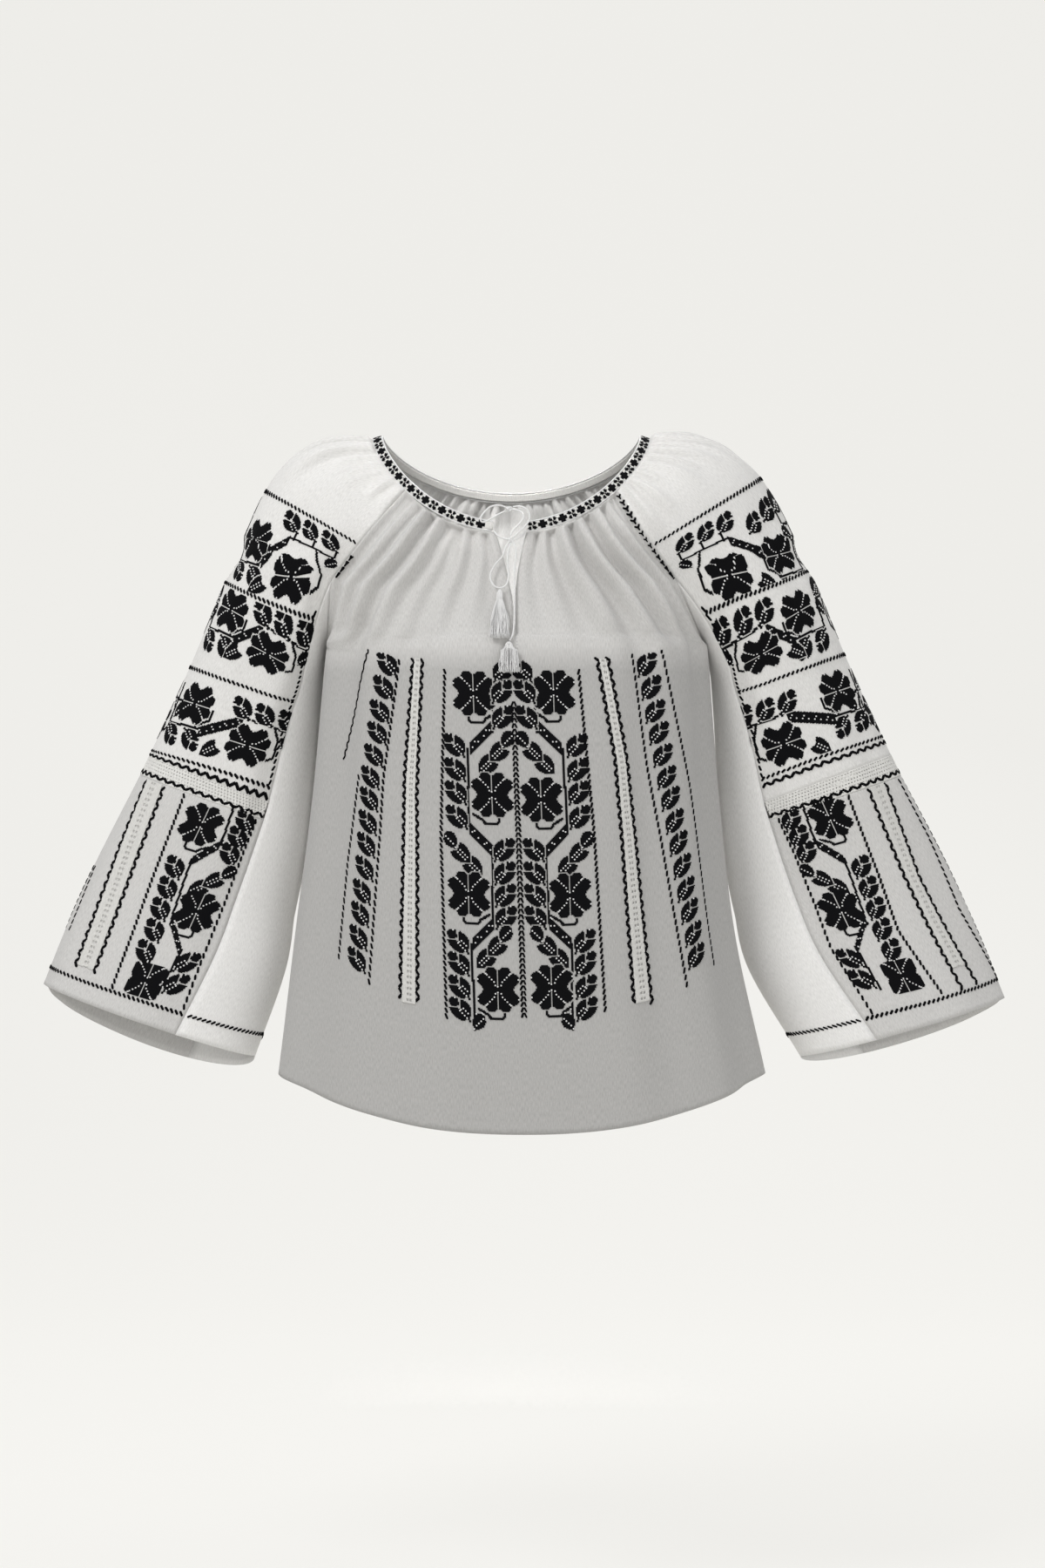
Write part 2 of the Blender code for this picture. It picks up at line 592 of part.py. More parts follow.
def strip_on(name, rows, downs, lanes, half, facing):
    """An openwork strip that lies on a panel, made from the panel's own rows and moved out."""
    lift = CLOTH / 2 + GAP + FACET_SLACK + STRIP / 2
    strip_rows = []
    for k, down in enumerate(downs):
        if lanes[0].at <= down <= lanes[-1].at:
            across = read(lanes, "across", down)
            middle = between_columns(rows[k], across)
            ahead = between_columns(rows[k], across + STEP_ACROSS)
            along = ahead - between_columns(rows[k], across - STEP_ACROSS)
            along.normalize()
            above = between_columns(rows[max(k - 1, 0)], across)
            below = between_columns(rows[min(k + 1, len(rows) - 1)], across)
            out = (below - above).cross(along).normalized() * facing
            strip_rows.append([middle + along * half * step + out * lift for step in (-1, 0, 1)])
    return wall(name, strip_rows, STRIP, "lace")


def body_panels():
    downs = body_downs()
    front = folded(body_surface(FRONT_MIDDLE, RAGLAN_FRONT, -1), FRONT_FOLDS, 1)
    back = folded(body_surface(BACK_MIDDLE, RAGLAN_BACK, 1), BACK_FOLDS, -1)
    front_rows = grid_points(front, FRONT_COLUMNS, downs, body_pull)
    back_rows = grid_points(back, BACK_COLUMNS, downs, body_pull)
    body = [BVHTree.FromPolygons(*faces_of(rows)) for rows in (front_rows, back_rows)]
    wall("front", front_rows, CLOTH, "gauze", SLIT_ROWS)
    wall("back", back_rows, CLOTH, "gauze")
    for side, lanes in FRONT_LANES.items():
        strip_on("front_lace_" + side, front_rows, downs, lanes, FRONT_LANE_HALF, 1)
    return body


def sleeve(side, body):
    sign = SIDES[side]
    cloth = folded(sleeve_surface(side), [Fold(f.across, f.half, f.deep, f.start - 1, f.reach - 1)
                                          for f in HEAD_FOLDS], sign)
    neck_downs = levels(-1, 0, RAGLAN_ROWS)
    head_downs = neck_downs + list(HEAD_LEVELS[1:])
    lower_downs = levels(LACE_BOTTOM, CUFF, RINGS_LOWER)
    gore_downs = list(HEAD_LEVELS) + lower_downs
    head_rows = grid_points(cloth, SLEEVE_COLUMNS, head_downs, sleeve_pull)
    lace_rows = grid_points(cloth, SLEEVE_COLUMNS, [LACE_TOP, LACE_BOTTOM], sleeve_pull)
    lower_rows = grid_points(cloth, SLEEVE_COLUMNS, lower_downs, sleeve_pull)
    gore_rows = grid_points(gore_surface(side), GORE_COLUMNS, gore_downs, sleeve_pull)
    for rows, downs in ((head_rows, head_downs), (gore_rows, gore_downs)):
        clear_of(rows, downs, body)
    wall("sleeve_head_" + side, head_rows, CLOTH, "worked")
    wall("sleeve_lace_" + side, lace_rows, CLOTH, "lace")
    wall("sleeve_lower_" + side, lower_rows, CLOTH, "gauze")
    wall("sleeve_gore_" + side, gore_rows, CLOTH, "gauze")
    strip_on("sleeve_strip_" + side, lower_rows, lower_downs, SLEEVE_LANES[side], SLEEVE_LANE_HALF, sign)


def band_lean(angle):
    """Direction from the neck seam across the band: up at front and back, inwards on the shoulders."""
    up = BAND_LEAN_UP + BAND_LEAN_UP_MIDDLE * abs(cos(angle))
    return Vector((-BAND_LEAN_IN * sin(angle), BAND_LEAN_BACK * cos(angle), up)).normalized()


def neck_band():
    end = front_angle(BAND_END_RIGHT)
    start = radians(360) + front_angle(BAND_END_LEFT)
    outer = []
    inner = []
    for k in range(BAND_COLUMNS + 1):
        angle = end + (start - end) * k / BAND_COLUMNS
        lean = band_lean(angle)
        outer.append(neckline(angle) + lean * 3 * GAP)
        inner.append(neckline(angle) + lean * BAND_TALL)
    wall("neck_band", [outer, inner], BAND_WALL, "band")


def front_angle(x):
    """Angle round the front of the neck at which the seam reaches x."""
    return asin((x - NECK_X) / NECK_WIDE)


Face = namedtuple("Face", "at y")


def front_face(z):
    """y of the front panel's outer face on its middle line, at a height."""
    rows = [Face(-row.z, row.y) for row in FRONT_MIDDLE]
    return read(rows, "y", -z) - CLOTH / 2


def route(stops):
    return [Vector((stop.x, front_face(stop.z) - stop.out - CORD / 2, stop.z)) for stop in stops]


def cord(name, stops):
    """A drawstring stretch: a smooth curve through its route, read every few millimetres."""
    points = smooth_route(route(stops), CORD_STEP)
    curve = bpy.data.curves.new(name, "CURVE")
    curve.dimensions = "3D"
    curve.bevel_depth = CORD / 2
    curve.bevel_resolution = 2
    curve.use_fill_caps = True
    curve.resolution_u = 1
    spline = curve.splines.new("POLY")
    spline.points.add(len(points) - 1)
    for slot, point in zip(spline.points, points):
        slot.co = (*point, 1)
    return keep(bpy.data.objects.new(name, curve), "cord")


def smooth_route(stops, spacing):
    """Points at about equal spacing on a smooth curve through the stops."""
    points = []
    for k in range(len(stops) - 1):
        before = stops[max(k - 1, 0)]
        a = stops[k]
        b = stops[k + 1]
        after = stops[min(k + 2, len(stops) - 1)]
        count = max(1, round((b - a).length / spacing))
        for step in range(count):
            t = step / count
            points.append(0.5 * (2 * a + (b - before) * t + (2 * before - 5 * a + 4 * b - after) * t * t
                                 + (3 * a - before - 3 * b + after) * t ** 3))
    return points + [stops[-1]]


def knot(name, stop):
    shape = bmesh.new()
    bmesh.ops.create_uvsphere(shape, u_segments=12, v_segments=8, radius=KNOT / 2)
    centre = route([stop])[0]
    for vertex in shape.verts:
        vertex.co = Vector((vertex.co.x * KNOT_WIDE, vertex.co.y * KNOT_DEEP, vertex.co.z)) + centre
    mesh = bpy.data.meshes.new(name)
    shape.to_mesh(mesh)
    shape.free()
    mesh.shade_smooth()
    return keep(bpy.data.objects.new(name, mesh), "cord")


def tassel(name, top, tall):
    """A flattened tassel: its profile turned about its own axis."""
    points = [(TASSEL_WIDE / 2 * wide, 0, -tall * down) for down, wide in TASSEL_PROFILE]
    points = [(0, 0, 0)] + points + [(0, 0, -tall)]
    mesh = bpy.data.meshes.new(name)
    mesh.from_pydata(points, [(k, k + 1) for k in range(len(points) - 1)], [])
    thing = bpy.data.objects.new(name, mesh)
    turn = thing.modifiers.new("turned", "SCREW")
    turn.steps = 16
    turn.render_steps = 16
    turn.use_merge_vertices = True
    turn.merge_threshold = 0.00005
    foot = top.z - tall
    depth = TASSEL_WIDE / 2 * TASSEL_FLAT
    lean = hypot(front_face(foot) - front_face(top.z), tall)
    thing.scale = (1, TASSEL_FLAT, 1)
    thing.rotation_euler = (-(front_face(top.z) - front_face(foot)) / lean, 0, 0)
    thing.location = (top.x, front_face(top.z) - top.out - depth, top.z)
    return keep(thing, "cord")


def drawstring():
    cord("tie_left", TIE_LEFT)
    cord("tie_right", TIE_RIGHT)
    knot("knot_low", KNOT_LOW)
    cord("strand_inner", STRAND_INNER)
    cord("strand_outer", STRAND_OUTER)
    knot("knot_bow", KNOT_BOW)
    cord("ear_left", EAR_LEFT)
    cord("tail_left", TAIL_LEFT)
    cord("tail_right", TAIL_RIGHT)
    for name, top in TASSEL_TOPS.items():
        tassel("tassel_" + name, top, TASSEL_TALL[name])


def main():
    clear_scene()
    home = bpy.data.collections.new("romanian_ie_blouse")
    bpy.context.scene.collection.children.link(home)
    body = body_panels()
    for side in SIDES:
        sleeve(side, body)
    neck_band()
    drawstring()


main()
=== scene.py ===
# %% [markdown]
# # A Romanian ie blouse
# An ie is a folk blouse of thin cotton gauze. Straight widths of cloth are gathered to a narrow neck
# band, and the sleeves run up to that band too, with their embroidery counted out on the threads.
# The finished solids come from the CAD model; this lesson makes the cloth, the stitches and the cord
# that are seen, each in the place that its solid gives it.

# %% Load the fixed model
import math
from collections import namedtuple

import bmesh
import bpy
import numpy as np
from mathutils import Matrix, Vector


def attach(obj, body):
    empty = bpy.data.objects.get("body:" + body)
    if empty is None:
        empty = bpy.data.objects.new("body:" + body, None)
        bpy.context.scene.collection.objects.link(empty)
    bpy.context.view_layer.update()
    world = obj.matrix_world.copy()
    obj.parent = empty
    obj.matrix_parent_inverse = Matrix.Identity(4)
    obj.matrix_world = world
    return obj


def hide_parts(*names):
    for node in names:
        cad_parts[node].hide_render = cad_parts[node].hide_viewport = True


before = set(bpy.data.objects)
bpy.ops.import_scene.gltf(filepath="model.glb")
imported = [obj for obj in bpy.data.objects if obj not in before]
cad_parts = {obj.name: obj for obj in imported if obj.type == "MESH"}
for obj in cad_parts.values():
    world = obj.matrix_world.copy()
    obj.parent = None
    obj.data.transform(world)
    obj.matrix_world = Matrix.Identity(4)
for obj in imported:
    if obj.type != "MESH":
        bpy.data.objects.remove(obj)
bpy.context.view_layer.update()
SIDES = {"left": -1, "right": 1}

# %% [markdown]
# ## The camera, the light and the floor
# The blouse is seen straight from the front, a little above its middle, from three metres away, so
# that the far cuff and the near one keep nearly the same scale. A pale sweep of paper stands behind
# it. A large soft light hangs to one side and above, and weaker ones fill the other side.

# %% Camera
CAMERA = (0.0026, -3.2, -0.345)
PIXEL = 0.000867                 # metres of the blouse's middle plane that one row of the view shows
ROWS_SEEN = 1800
camera = bpy.data.objects.new("camera", bpy.data.cameras.new("camera"))
camera.location = CAMERA
camera.rotation_euler = (math.radians(90), 0, 0)
camera.data.lens = camera.data.sensor_width * -CAMERA[1] / (ROWS_SEEN * PIXEL)
bpy.context.scene.collection.objects.link(camera)
bpy.context.scene.camera = camera
print("lens:", round(camera.data.lens, 1), "mm")

# %% Lights
Lamp = namedtuple("Lamp", "name place aim size watts spread")
LAMPS = [
    Lamp("key", (-1.7, -1.7, 2.0), (0, 0, -0.30), 1.1, 62, 180),
    Lamp("fill", (2.4, -2.2, 0.2), (0, 0, -0.35), 2.2, 15, 180),
    Lamp("top", (0.3, -0.6, 2.4), (0, 0, -0.20), 1.6, 20, 180),
    Lamp("rim", (0.6, 2.4, 0.9), (0, 0, -0.30), 1.6, 14, 180),
    Lamp("low", (0.4, -2.6, -0.7), (0, 0.05, -0.08), 1.6, 13, 180),
    Lamp("neck", (-0.01, -1.0, 1.2), (-0.01, 0.07, -0.07), 0.08, 0.14, 12),
]
for lamp in LAMPS:
    light = bpy.data.lights.new(lamp.name, "AREA")
    light.size = lamp.size
    light.energy = lamp.watts
    light.spread = math.radians(lamp.spread)
    holder = bpy.data.objects.new(lamp.name, light)
    holder.location = lamp.place
    holder.rotation_euler = (Vector(lamp.aim) - Vector(lamp.place)).to_track_quat("-Z", "Y").to_euler()
    bpy.context.scene.collection.objects.link(holder)
world = bpy.data.worlds.new("studio")
world.use_nodes = True
world.node_tree.nodes["Background"].inputs["Color"].default_value = (0.90, 0.91, 0.93, 1)
world.node_tree.nodes["Background"].inputs["Strength"].default_value = 0.42
bpy.context.scene.world = world
bpy.context.scene.view_settings.view_transform = "Standard"
print("lamps:", [lamp.name for lamp in LAMPS])

# %% [markdown]
# The sweep is one flat sheet bent up behind the blouse. Its colour is a warm off-white with a very
# faint mottle, as paper has.

# %% Floor and backdrop
FLOOR_Z = -1.16
SWEEP_START = 1.6                # where the paper begins to rise, behind the blouse
SWEEP_ROUND = 1.4
PAPER_HALF = 7
paper = bmesh.new()
bmesh.ops.create_grid(paper, x_segments=2, y_segments=64, size=PAPER_HALF)
for corner in paper.verts:
    turn = min(max((corner.co.y - SWEEP_START) / SWEEP_ROUND, 0), math.pi / 2)
    beyond = max(corner.co.y - SWEEP_START - SWEEP_ROUND * math.pi / 2, 0)
    flat = min(corner.co.y, SWEEP_START)
    corner.co.z = FLOOR_Z + SWEEP_ROUND * (1 - math.cos(turn)) + beyond
    corner.co.y = flat + SWEEP_ROUND * math.sin(turn)
backdrop = bpy.data.objects.new("backdrop", bpy.data.meshes.new("backdrop"))
paper.to_mesh(backdrop.data)
paper.free()
backdrop.data.shade_smooth()
bpy.context.scene.collection.objects.link(backdrop)
print("floor at", FLOOR_Z)

# %% [markdown]
# ## Materials
# Small helpers set up a node material: a shader, the nodes that feed it, and the links between them.
# Everything that is the same all over is set on the shader's own sockets.

# %% Material helpers
def new_material(name, colour, roughness):
    """A node material with a plain shader; returns it, its tree and the shader."""
    made = bpy.data.materials.new(name)
    made.use_nodes = True
    shader = made.node_tree.nodes["Principled BSDF"]
    shader.inputs["Base Color"].default_value = (*colour, 1)
    shader.inputs["Roughness"].default_value = roughness
    return made, made.node_tree, shader


def node(tree, kind, **settings):
    """A new node; settings name its own properties, or its inputs by their titles with _ for a space."""
    made = tree.nodes.new(kind)
    for key, value in settings.items():
        title = key.replace("_", " ")
        if title in made.inputs:
            made.inputs[title].default_value = value
        else:
            setattr(made, key, value)
    return made


def link(tree, start, out, end, into):
    tree.links.new(start.outputs[out], end.inputs[into])


def mixed_colour(tree, factor, out, low, high):
    """A node that blends two colours by another node's value."""
    ramp = node(tree, "ShaderNodeValToRGB")
    ramp.color_ramp.elements[0].color = (*low, 1)
    ramp.color_ramp.elements[1].color = (*high, 1)
    link(tree, factor, out, ramp, "Fac")
    return ramp


def bumped(tree, shader, height, out, strength, depth):
    """Raise the surface in the shader's light by another node's value; depth is in metres."""
    bump = node(tree, "ShaderNodeBump", Strength=strength, Distance=depth)
    link(tree, height, out, bump, "Height")
    link(tree, bump, "Normal", shader, "Normal")


def roughened(tree, shader, factor, low, high):
    """Let the roughness wander between two values with another node's."""
    span = node(tree, "ShaderNodeMapRange", To_Min=low, To_Max=high)
    link(tree, factor, "Fac", span, "Value")
    link(tree, span, "Result", shader, "Roughness")


def crossed_waves(tree, place, turns, **settings):
    """The higher of two sets of bands, each turned its own way across the piece."""
    highest = node(tree, "ShaderNodeMath", operation="MAXIMUM")
    for k, turn in enumerate(turns):
        turned = node(tree, "ShaderNodeMapping", Rotation=(0, 0, turn))
        link(tree, place, "UV", turned, "Vector")
        wave = node(tree, "ShaderNodeTexWave", bands_direction="X", **settings)
        link(tree, turned, "Vector", wave, "Vector")
        link(tree, wave, "Fac", highest, k)
    return highest


paper_material, tree, shader = new_material("paper", (0.30, 0.298, 0.29), 0.9)
shader.inputs["Emission Color"].default_value = (0.87, 0.862, 0.83, 1)
shader.inputs["Emission Strength"].default_value = 0.80
mottle = node(tree, "ShaderNodeTexNoise", Scale=3.0, Detail=3.0)
shade = mixed_colour(tree, mottle, "Fac", (0.16, 0.158, 0.152), (0.19, 0.188, 0.182))
link(tree, shade, "Color", shader, "Base Color")
backdrop.data.materials.append(paper_material)
print("materials:", len(bpy.data.materials))
# %% [markdown]
# ## The drawstring
# One white cord runs inside the neck band and comes out at both ends of the slit. The two ends meet in
# a knot, go up to a bow inside the neck, and hang down in a loop and a long tail, each with a tassel.
# The stretches below are the CAD routes: x, z and how far in front of the cloth each point passes.

# %% Cord routes
CLOTH = 0.0012                   # thickness of the solid cloth that the routes are measured from
CORD = 0.0018
Stop = namedtuple("Stop", "x z out")


def stops(*rows):
    """Stops from rows of x, z and how far out, in tenths of a millimetre."""
    return [Stop(*(value / 10000 for value in row)) for row in rows]


(KNOT_LOW,) = stops((-86, -1096, 30))
(KNOT_BOW,) = stops((-101, -800, 30))
TIE_LEFT = stops(
    (-252, -1004, 4), (-222, -1046, 12), (-168, -1082, 25), (-120, -1094, 30))
TIE_RIGHT = stops(
    (60, -1004, 4), (40, -1046, 12), (-6, -1082, 25), (-53, -1100, 30))
STRAND_INNER = stops(
    (-90, -1064, 36), (-62, -1006, 50), (-8, -952, 60), (36, -888, 60), (18, -836, 52),
    (-30, -812, 42), (-66, -806, 34))
STRAND_OUTER = stops(
    (-62, -1074, 36), (-10, -1026, 50), (54, -966, 60), (94, -902, 60), (82, -826, 56),
    (30, -784, 50), (-34, -776, 40), (-68, -786, 34))
EAR_LEFT = stops(
    (-134, -788, 34), (-190, -768, 46), (-270, -778, 54), (-340, -832, 56), (-380, -898, 52),
    (-356, -930, 48), (-296, -908, 44), (-224, -864, 40), (-136, -818, 34))
TAIL_LEFT = stops(
    (-112, -1118, 34), (-142, -1190, 42), (-166, -1262, 42), (-238, -1346, 36), (-284, -1450, 30),
    (-256, -1540, 36), (-190, -1572, 44), (-128, -1538, 40), (-108, -1430, 36), (-120, -1310, 44),
    (-110, -1210, 46), (-88, -1129, 36))
TAIL_RIGHT = stops(
    (-64, -1120, 34), (-36, -1200, 36), (-46, -1330, 26), (-52, -1480, 20), (-50, -1640, 18),
    (-52, -1800, 20), (-58, -1960, 26), (-70, -2030, 34), (-100, -2088, 42))
TASSEL_TOPS = dict(zip(("upper", "lower"), stops((-192, -1586, 12), (-106, -2092, 10))))
TASSEL_TALL = {"upper": 0.0480, "lower": 0.0300}
TASSEL_WIDE = 0.020
TASSEL_FLAT = 0.42
print("stops of the long tail:", len(TAIL_RIGHT), "and of the loop:", len(TAIL_LEFT))

# %% [markdown]
# ## Where the cloth lies
# Each panel is a smooth surface: give it a place across and a level down, and it gives a point. The
# tables are the model's own, so the thin cloth made here fills the place of each solid exactly. The
# functions take whole arrays of places at once, because there are hundreds of thousands of stitches.

# %% Reading a table
def read(rows, column, at):
    """Values of a column at levels, on a smooth curve through the table's rows."""
    levels = np.array([row.at for row in rows], float)
    values = np.array([getattr(row, column) for row in rows], float)
    order = np.arange(len(rows))
    low = np.maximum(order - 1, 0)
    high = np.minimum(order + 1, len(rows) - 1)
    slopes = (values[high] - values[low]) / (levels[high] - levels[low])
    at = np.clip(at, levels[0], levels[-1])
    i = np.minimum(np.searchsorted(levels[1:], at), len(rows) - 2)
    span = levels[i + 1] - levels[i]
    t = (at - levels[i]) / span
    blend = t * t * (3 - 2 * t)
    bend = span * t * (1 - t) * (slopes[i] * (1 - t) - slopes[i + 1] * t)
    return values[i] * (1 - blend) + values[i + 1] * blend + bend


def ease(low, high, value):
    """0 below low, 1 above high, smooth between."""
    t = np.clip((value - low) / (high - low), 0.0, 1.0)
    return t * t * (3 - 2 * t)


def point(x, y, z):
    """One array of points from three of coordinates."""
    return np.stack(np.broadcast_arrays(x, y, z), axis=-1).astype(float)


def signed_power(value, power):
    return np.sign(value) * np.abs(value) ** power


def unit(vectors):
    return vectors / np.maximum(np.linalg.norm(vectors, axis=-1, keepdims=True), 1e-12)


def run_along(line):
    """How far along a line of points each of them lies."""
    return np.concatenate([[0], np.linalg.norm(np.diff(line, axis=0), axis=1).cumsum()])


# %% The neck and the seams
RAGLAN_TURN = 48.6               # degrees round the neck from the middle to the sleeve
SHOULDER_TURN = 90 - RAGLAN_TURN
ARMPIT_TURN = 50
NECK_X = -0.0085
NECK_Y = -0.008
NECK_WIDE = 0.137
NECK_DEEP = 0.092
NECK_TOP = -0.003
NECK_DROP_FRONT = 0.099
NECK_DROP_BACK = 0.055
NECK_DROP_POWER = 1.4
Seam = namedtuple("Seam", "at left right y z")
RAGLAN_FRONT = [
    Seam(0.0, -0.1113, 0.0943, -0.0688, -0.0584),
    Seam(0.5, -0.1480, 0.1200, -0.0780, -0.1010),
    Seam(1.0, -0.1840, 0.1530, -0.0610, -0.1460),
]
RAGLAN_BACK = [
    Seam(0.0, -0.1113, 0.0943, 0.0528, -0.0326),
    Seam(0.5, -0.1450, 0.1290, 0.0700, -0.0850),
    Seam(1.0, -0.1790, 0.1600, 0.0560, -0.1450),
]
SIDE_SEAM = [
    Seam(2.00, -0.1900, 0.1830, -0.0020, -0.2060),
    Seam(2.33, -0.2045, 0.1935, -0.0060, -0.3480),
    Seam(2.67, -0.2225, 0.2090, -0.0080, -0.4900),
    Seam(3.00, -0.2385, 0.2405, -0.0100, -0.6280),
]


def arch(start, top, end, turn, across, full=1.0, sag=1.0):
    """Points on a part-ellipse from start (-1) through top (0) to end (1), turning by turn each way."""
    angle = across * np.radians(turn)
    rim = signed_power(np.cos(np.radians(turn)), full)
    lift = (signed_power(np.cos(angle), full) - rim) / (1 - rim)
    side = signed_power(np.sin(angle), full) / np.sin(np.radians(turn)) ** full
    middle = (start + end) / 2
    made = middle + (top - middle) * lift[..., None] + (end - start) / 2 * side[..., None]
    made[..., 2] += (top - middle)[..., 2] * (np.maximum(lift, 0.0) ** sag - lift)
    return made


def neckline(angle):
    """Points of the neck seam; angle is 0 at the middle of the front and grows towards the right."""
    towards = np.cos(angle)
    drop = np.where(towards > 0, NECK_DROP_FRONT, NECK_DROP_BACK)
    return point(NECK_X + NECK_WIDE * np.sin(angle), NECK_Y - NECK_DEEP * towards,
                 NECK_TOP - drop * np.abs(towards) ** NECK_DROP_POWER)


def seam(rows, side, at):
    return point(read(rows, side, at), read(rows, "y", at), read(rows, "z", at))


def gore_top(side, across):
    """The armpit seam: from the front raglan seam (-1) under the arm (0) to the back one (1)."""
    return arch(seam(RAGLAN_FRONT, side, 1), seam(SIDE_SEAM, side, 2), seam(RAGLAN_BACK, side, 1),
                ARMPIT_TURN, across)


print("neck seam from", neckline(0.0).round(3), "to", neckline(math.pi).round(3))

# %% [markdown]
# The body is two panels. Each row of a panel is part of a flattened ellipse between its side edges,
# and the gathers stand out from it as soft ridges that fade lower down.

# %% The body panels
Middle = namedtuple("Middle", "at x y z turn full sag")
FRONT_MIDDLE = [
    Middle(0.00, -0.0085, -0.1000, -0.1020, RAGLAN_TURN, 1.00, 1.0),
    Middle(0.50, -0.0075, -0.1080, -0.1320, 58.0, 1.00, 1.0),
    Middle(1.00, -0.0060, -0.1170, -0.1640, 72.0, 0.97, 1.1),
    Middle(1.50, -0.0040, -0.1260, -0.1970, 84.0, 0.93, 1.2),
    Middle(2.00, -0.0020, -0.1330, -0.2320, 90.0, 0.90, 1.3),
    Middle(2.33, 0.0000, -0.1400, -0.3800, 90.0, 0.88, 1.7),
    Middle(2.67, 0.0020, -0.1440, -0.5290, 90.0, 0.88, 2.0),
    Middle(3.00, 0.0040, -0.1490, -0.6780, 90.0, 0.88, 2.3),
]
BACK_MIDDLE = [
    Middle(0.00, -0.0085, 0.0840, -0.0580, RAGLAN_TURN, 1.00, 1.0),
    Middle(0.50, -0.0080, 0.0940, -0.0950, 58.0, 1.00, 1.0),
    Middle(1.00, -0.0060, 0.1010, -0.1350, 72.0, 0.97, 1.1),
    Middle(1.50, -0.0040, 0.1050, -0.1740, 84.0, 0.93, 1.2),
    Middle(2.00, -0.0020, 0.1070, -0.2140, 90.0, 0.90, 1.3),
    Middle(2.33, 0.0000, 0.1030, -0.3660, 90.0, 0.88, 1.7),
    Middle(2.67, 0.0020, 0.1080, -0.5190, 90.0, 0.88, 2.0),
    Middle(3.00, 0.0040, 0.1220, -0.6700, 90.0, 0.88, 2.3),
]
HEM = 3.0


def body_edge(raglan, side, down, towards):
    """The outer edge of a body panel: raglan seam, armpit seam, side seam."""
    upper = seam(raglan, side, np.minimum(down, 1))
    armpit = gore_top(side, towards * (2 - np.clip(down, 1, 2)))
    lower = seam(SIDE_SEAM, side, np.maximum(down, 2))
    return np.where((down <= 1)[..., None], upper, np.where((down <= 2)[..., None], armpit, lower))


def body_surface(middle_rows, raglan, towards):
    """Front (towards -1) or back (towards 1) of the body, before its folds."""
    def surface(across, down):
        across, down = np.broadcast_arrays(np.asarray(across, float), np.clip(down, 0.0, HEM))
        left = body_edge(raglan, "left", down, towards)
        right = body_edge(raglan, "right", down, towards)
        middle = point(*(read(middle_rows, column, down) for column in ("x", "y", "z")))
        made = arch(left, middle, right, read(middle_rows, "turn", down), across,
                    read(middle_rows, "full", down), read(middle_rows, "sag", down))
        swing = np.radians(RAGLAN_TURN) * np.stack([across, -np.ones_like(across), 0 * across,
                                                    np.ones_like(across)])
        rim, left, middle, right = neckline(swing if towards < 0 else math.pi - swing)
        off = rim - arch(left, middle, right, RAGLAN_TURN, across)
        return made + off * (1 - ease(0, 1, down))[..., None]
    return surface


print("side seam at the hem:", seam(SIDE_SEAM, "left", HEM).round(3), seam(SIDE_SEAM, "right", HEM).round(3))

# %% [markdown]
# A sleeve starts at the neck too. Above the underarm it bends over the shoulder from one raglan seam
# to the other. Below it each ring is an ellipse, which the worked cloth and the plain gore share.

# %% The sleeves
Crown = namedtuple("Crown", "at left right y z turn")
CROWN = [
    Crown(0.0, -0.1455, 0.1285, -0.008, -0.0030, SHOULDER_TURN),
    Crown(0.2, -0.1780, 0.1650, -0.004, -0.0022, 56.0),
    Crown(0.4, -0.2090, 0.2010, 0.000, -0.0105, 71.0),
    Crown(0.6, -0.2370, 0.2310, 0.003, -0.0300, 86.0),
    Crown(0.8, -0.2570, 0.2530, 0.005, -0.0600, 100.0),
    Crown(1.0, -0.2740, 0.2730, 0.006, -0.0980, 112.0),
]
Ring = namedtuple("Ring", "at outer outer_z inner_left inner_right inner_z y deep turn drop_left drop_right "
                          "lip_left lip_right")
SLEEVE = [
    Ring(0.000, 0.2735, -0.0980, 0.1918, 0.1848, -0.2062, 0.006, 0.064, 112, 0.000, 0.000, 0, 0.000),
    Ring(0.049, 0.2940, -0.1430, 0.1975, 0.1920, -0.2420, 0.012, 0.062, 134, 0.000, 0.000, 0, 0.000),
    Ring(0.139, 0.3295, -0.2262, 0.2050, 0.1985, -0.3050, 0.020, 0.060, 127, 0.000, 0.000, 0, 0.000),
    Ring(0.240, 0.3715, -0.3170, 0.2120, 0.2030, -0.3780, 0.024, 0.058, 123, 0.000, 0.000, 0, 0.000),
    Ring(0.259, 0.3797, -0.3340, 0.2135, 0.2045, -0.3930, 0.024, 0.058, 122, 0.000, 0.000, 0, 0.001),
    Ring(0.351, 0.4220, -0.4170, 0.2255, 0.2150, -0.4720, 0.022, 0.059, 117, 0.002, 0.002, 0, 0.005),
    Ring(0.415, 0.4480, -0.4750, 0.2345, 0.2290, -0.5300, 0.015, 0.061, 113, 0.010, 0.008, 0, 0.009),
    Ring(0.488, 0.4740, -0.5430, 0.2645, 0.2800, -0.6150, 0.002, 0.063, 108, 0.034, 0.024, 0, 0.016),
]
LIP_OUT = 0.36
LIP_DOWN = 0.93
ARMPIT_FADE = 0.060
ARMPIT_JOIN = 0.050
LACE_TOP = 0.240
LACE_BOTTOM = 0.259
CUFF = 0.488
print("rings of a sleeve:", len(SLEEVE), "from 0 to", CUFF, "m down")

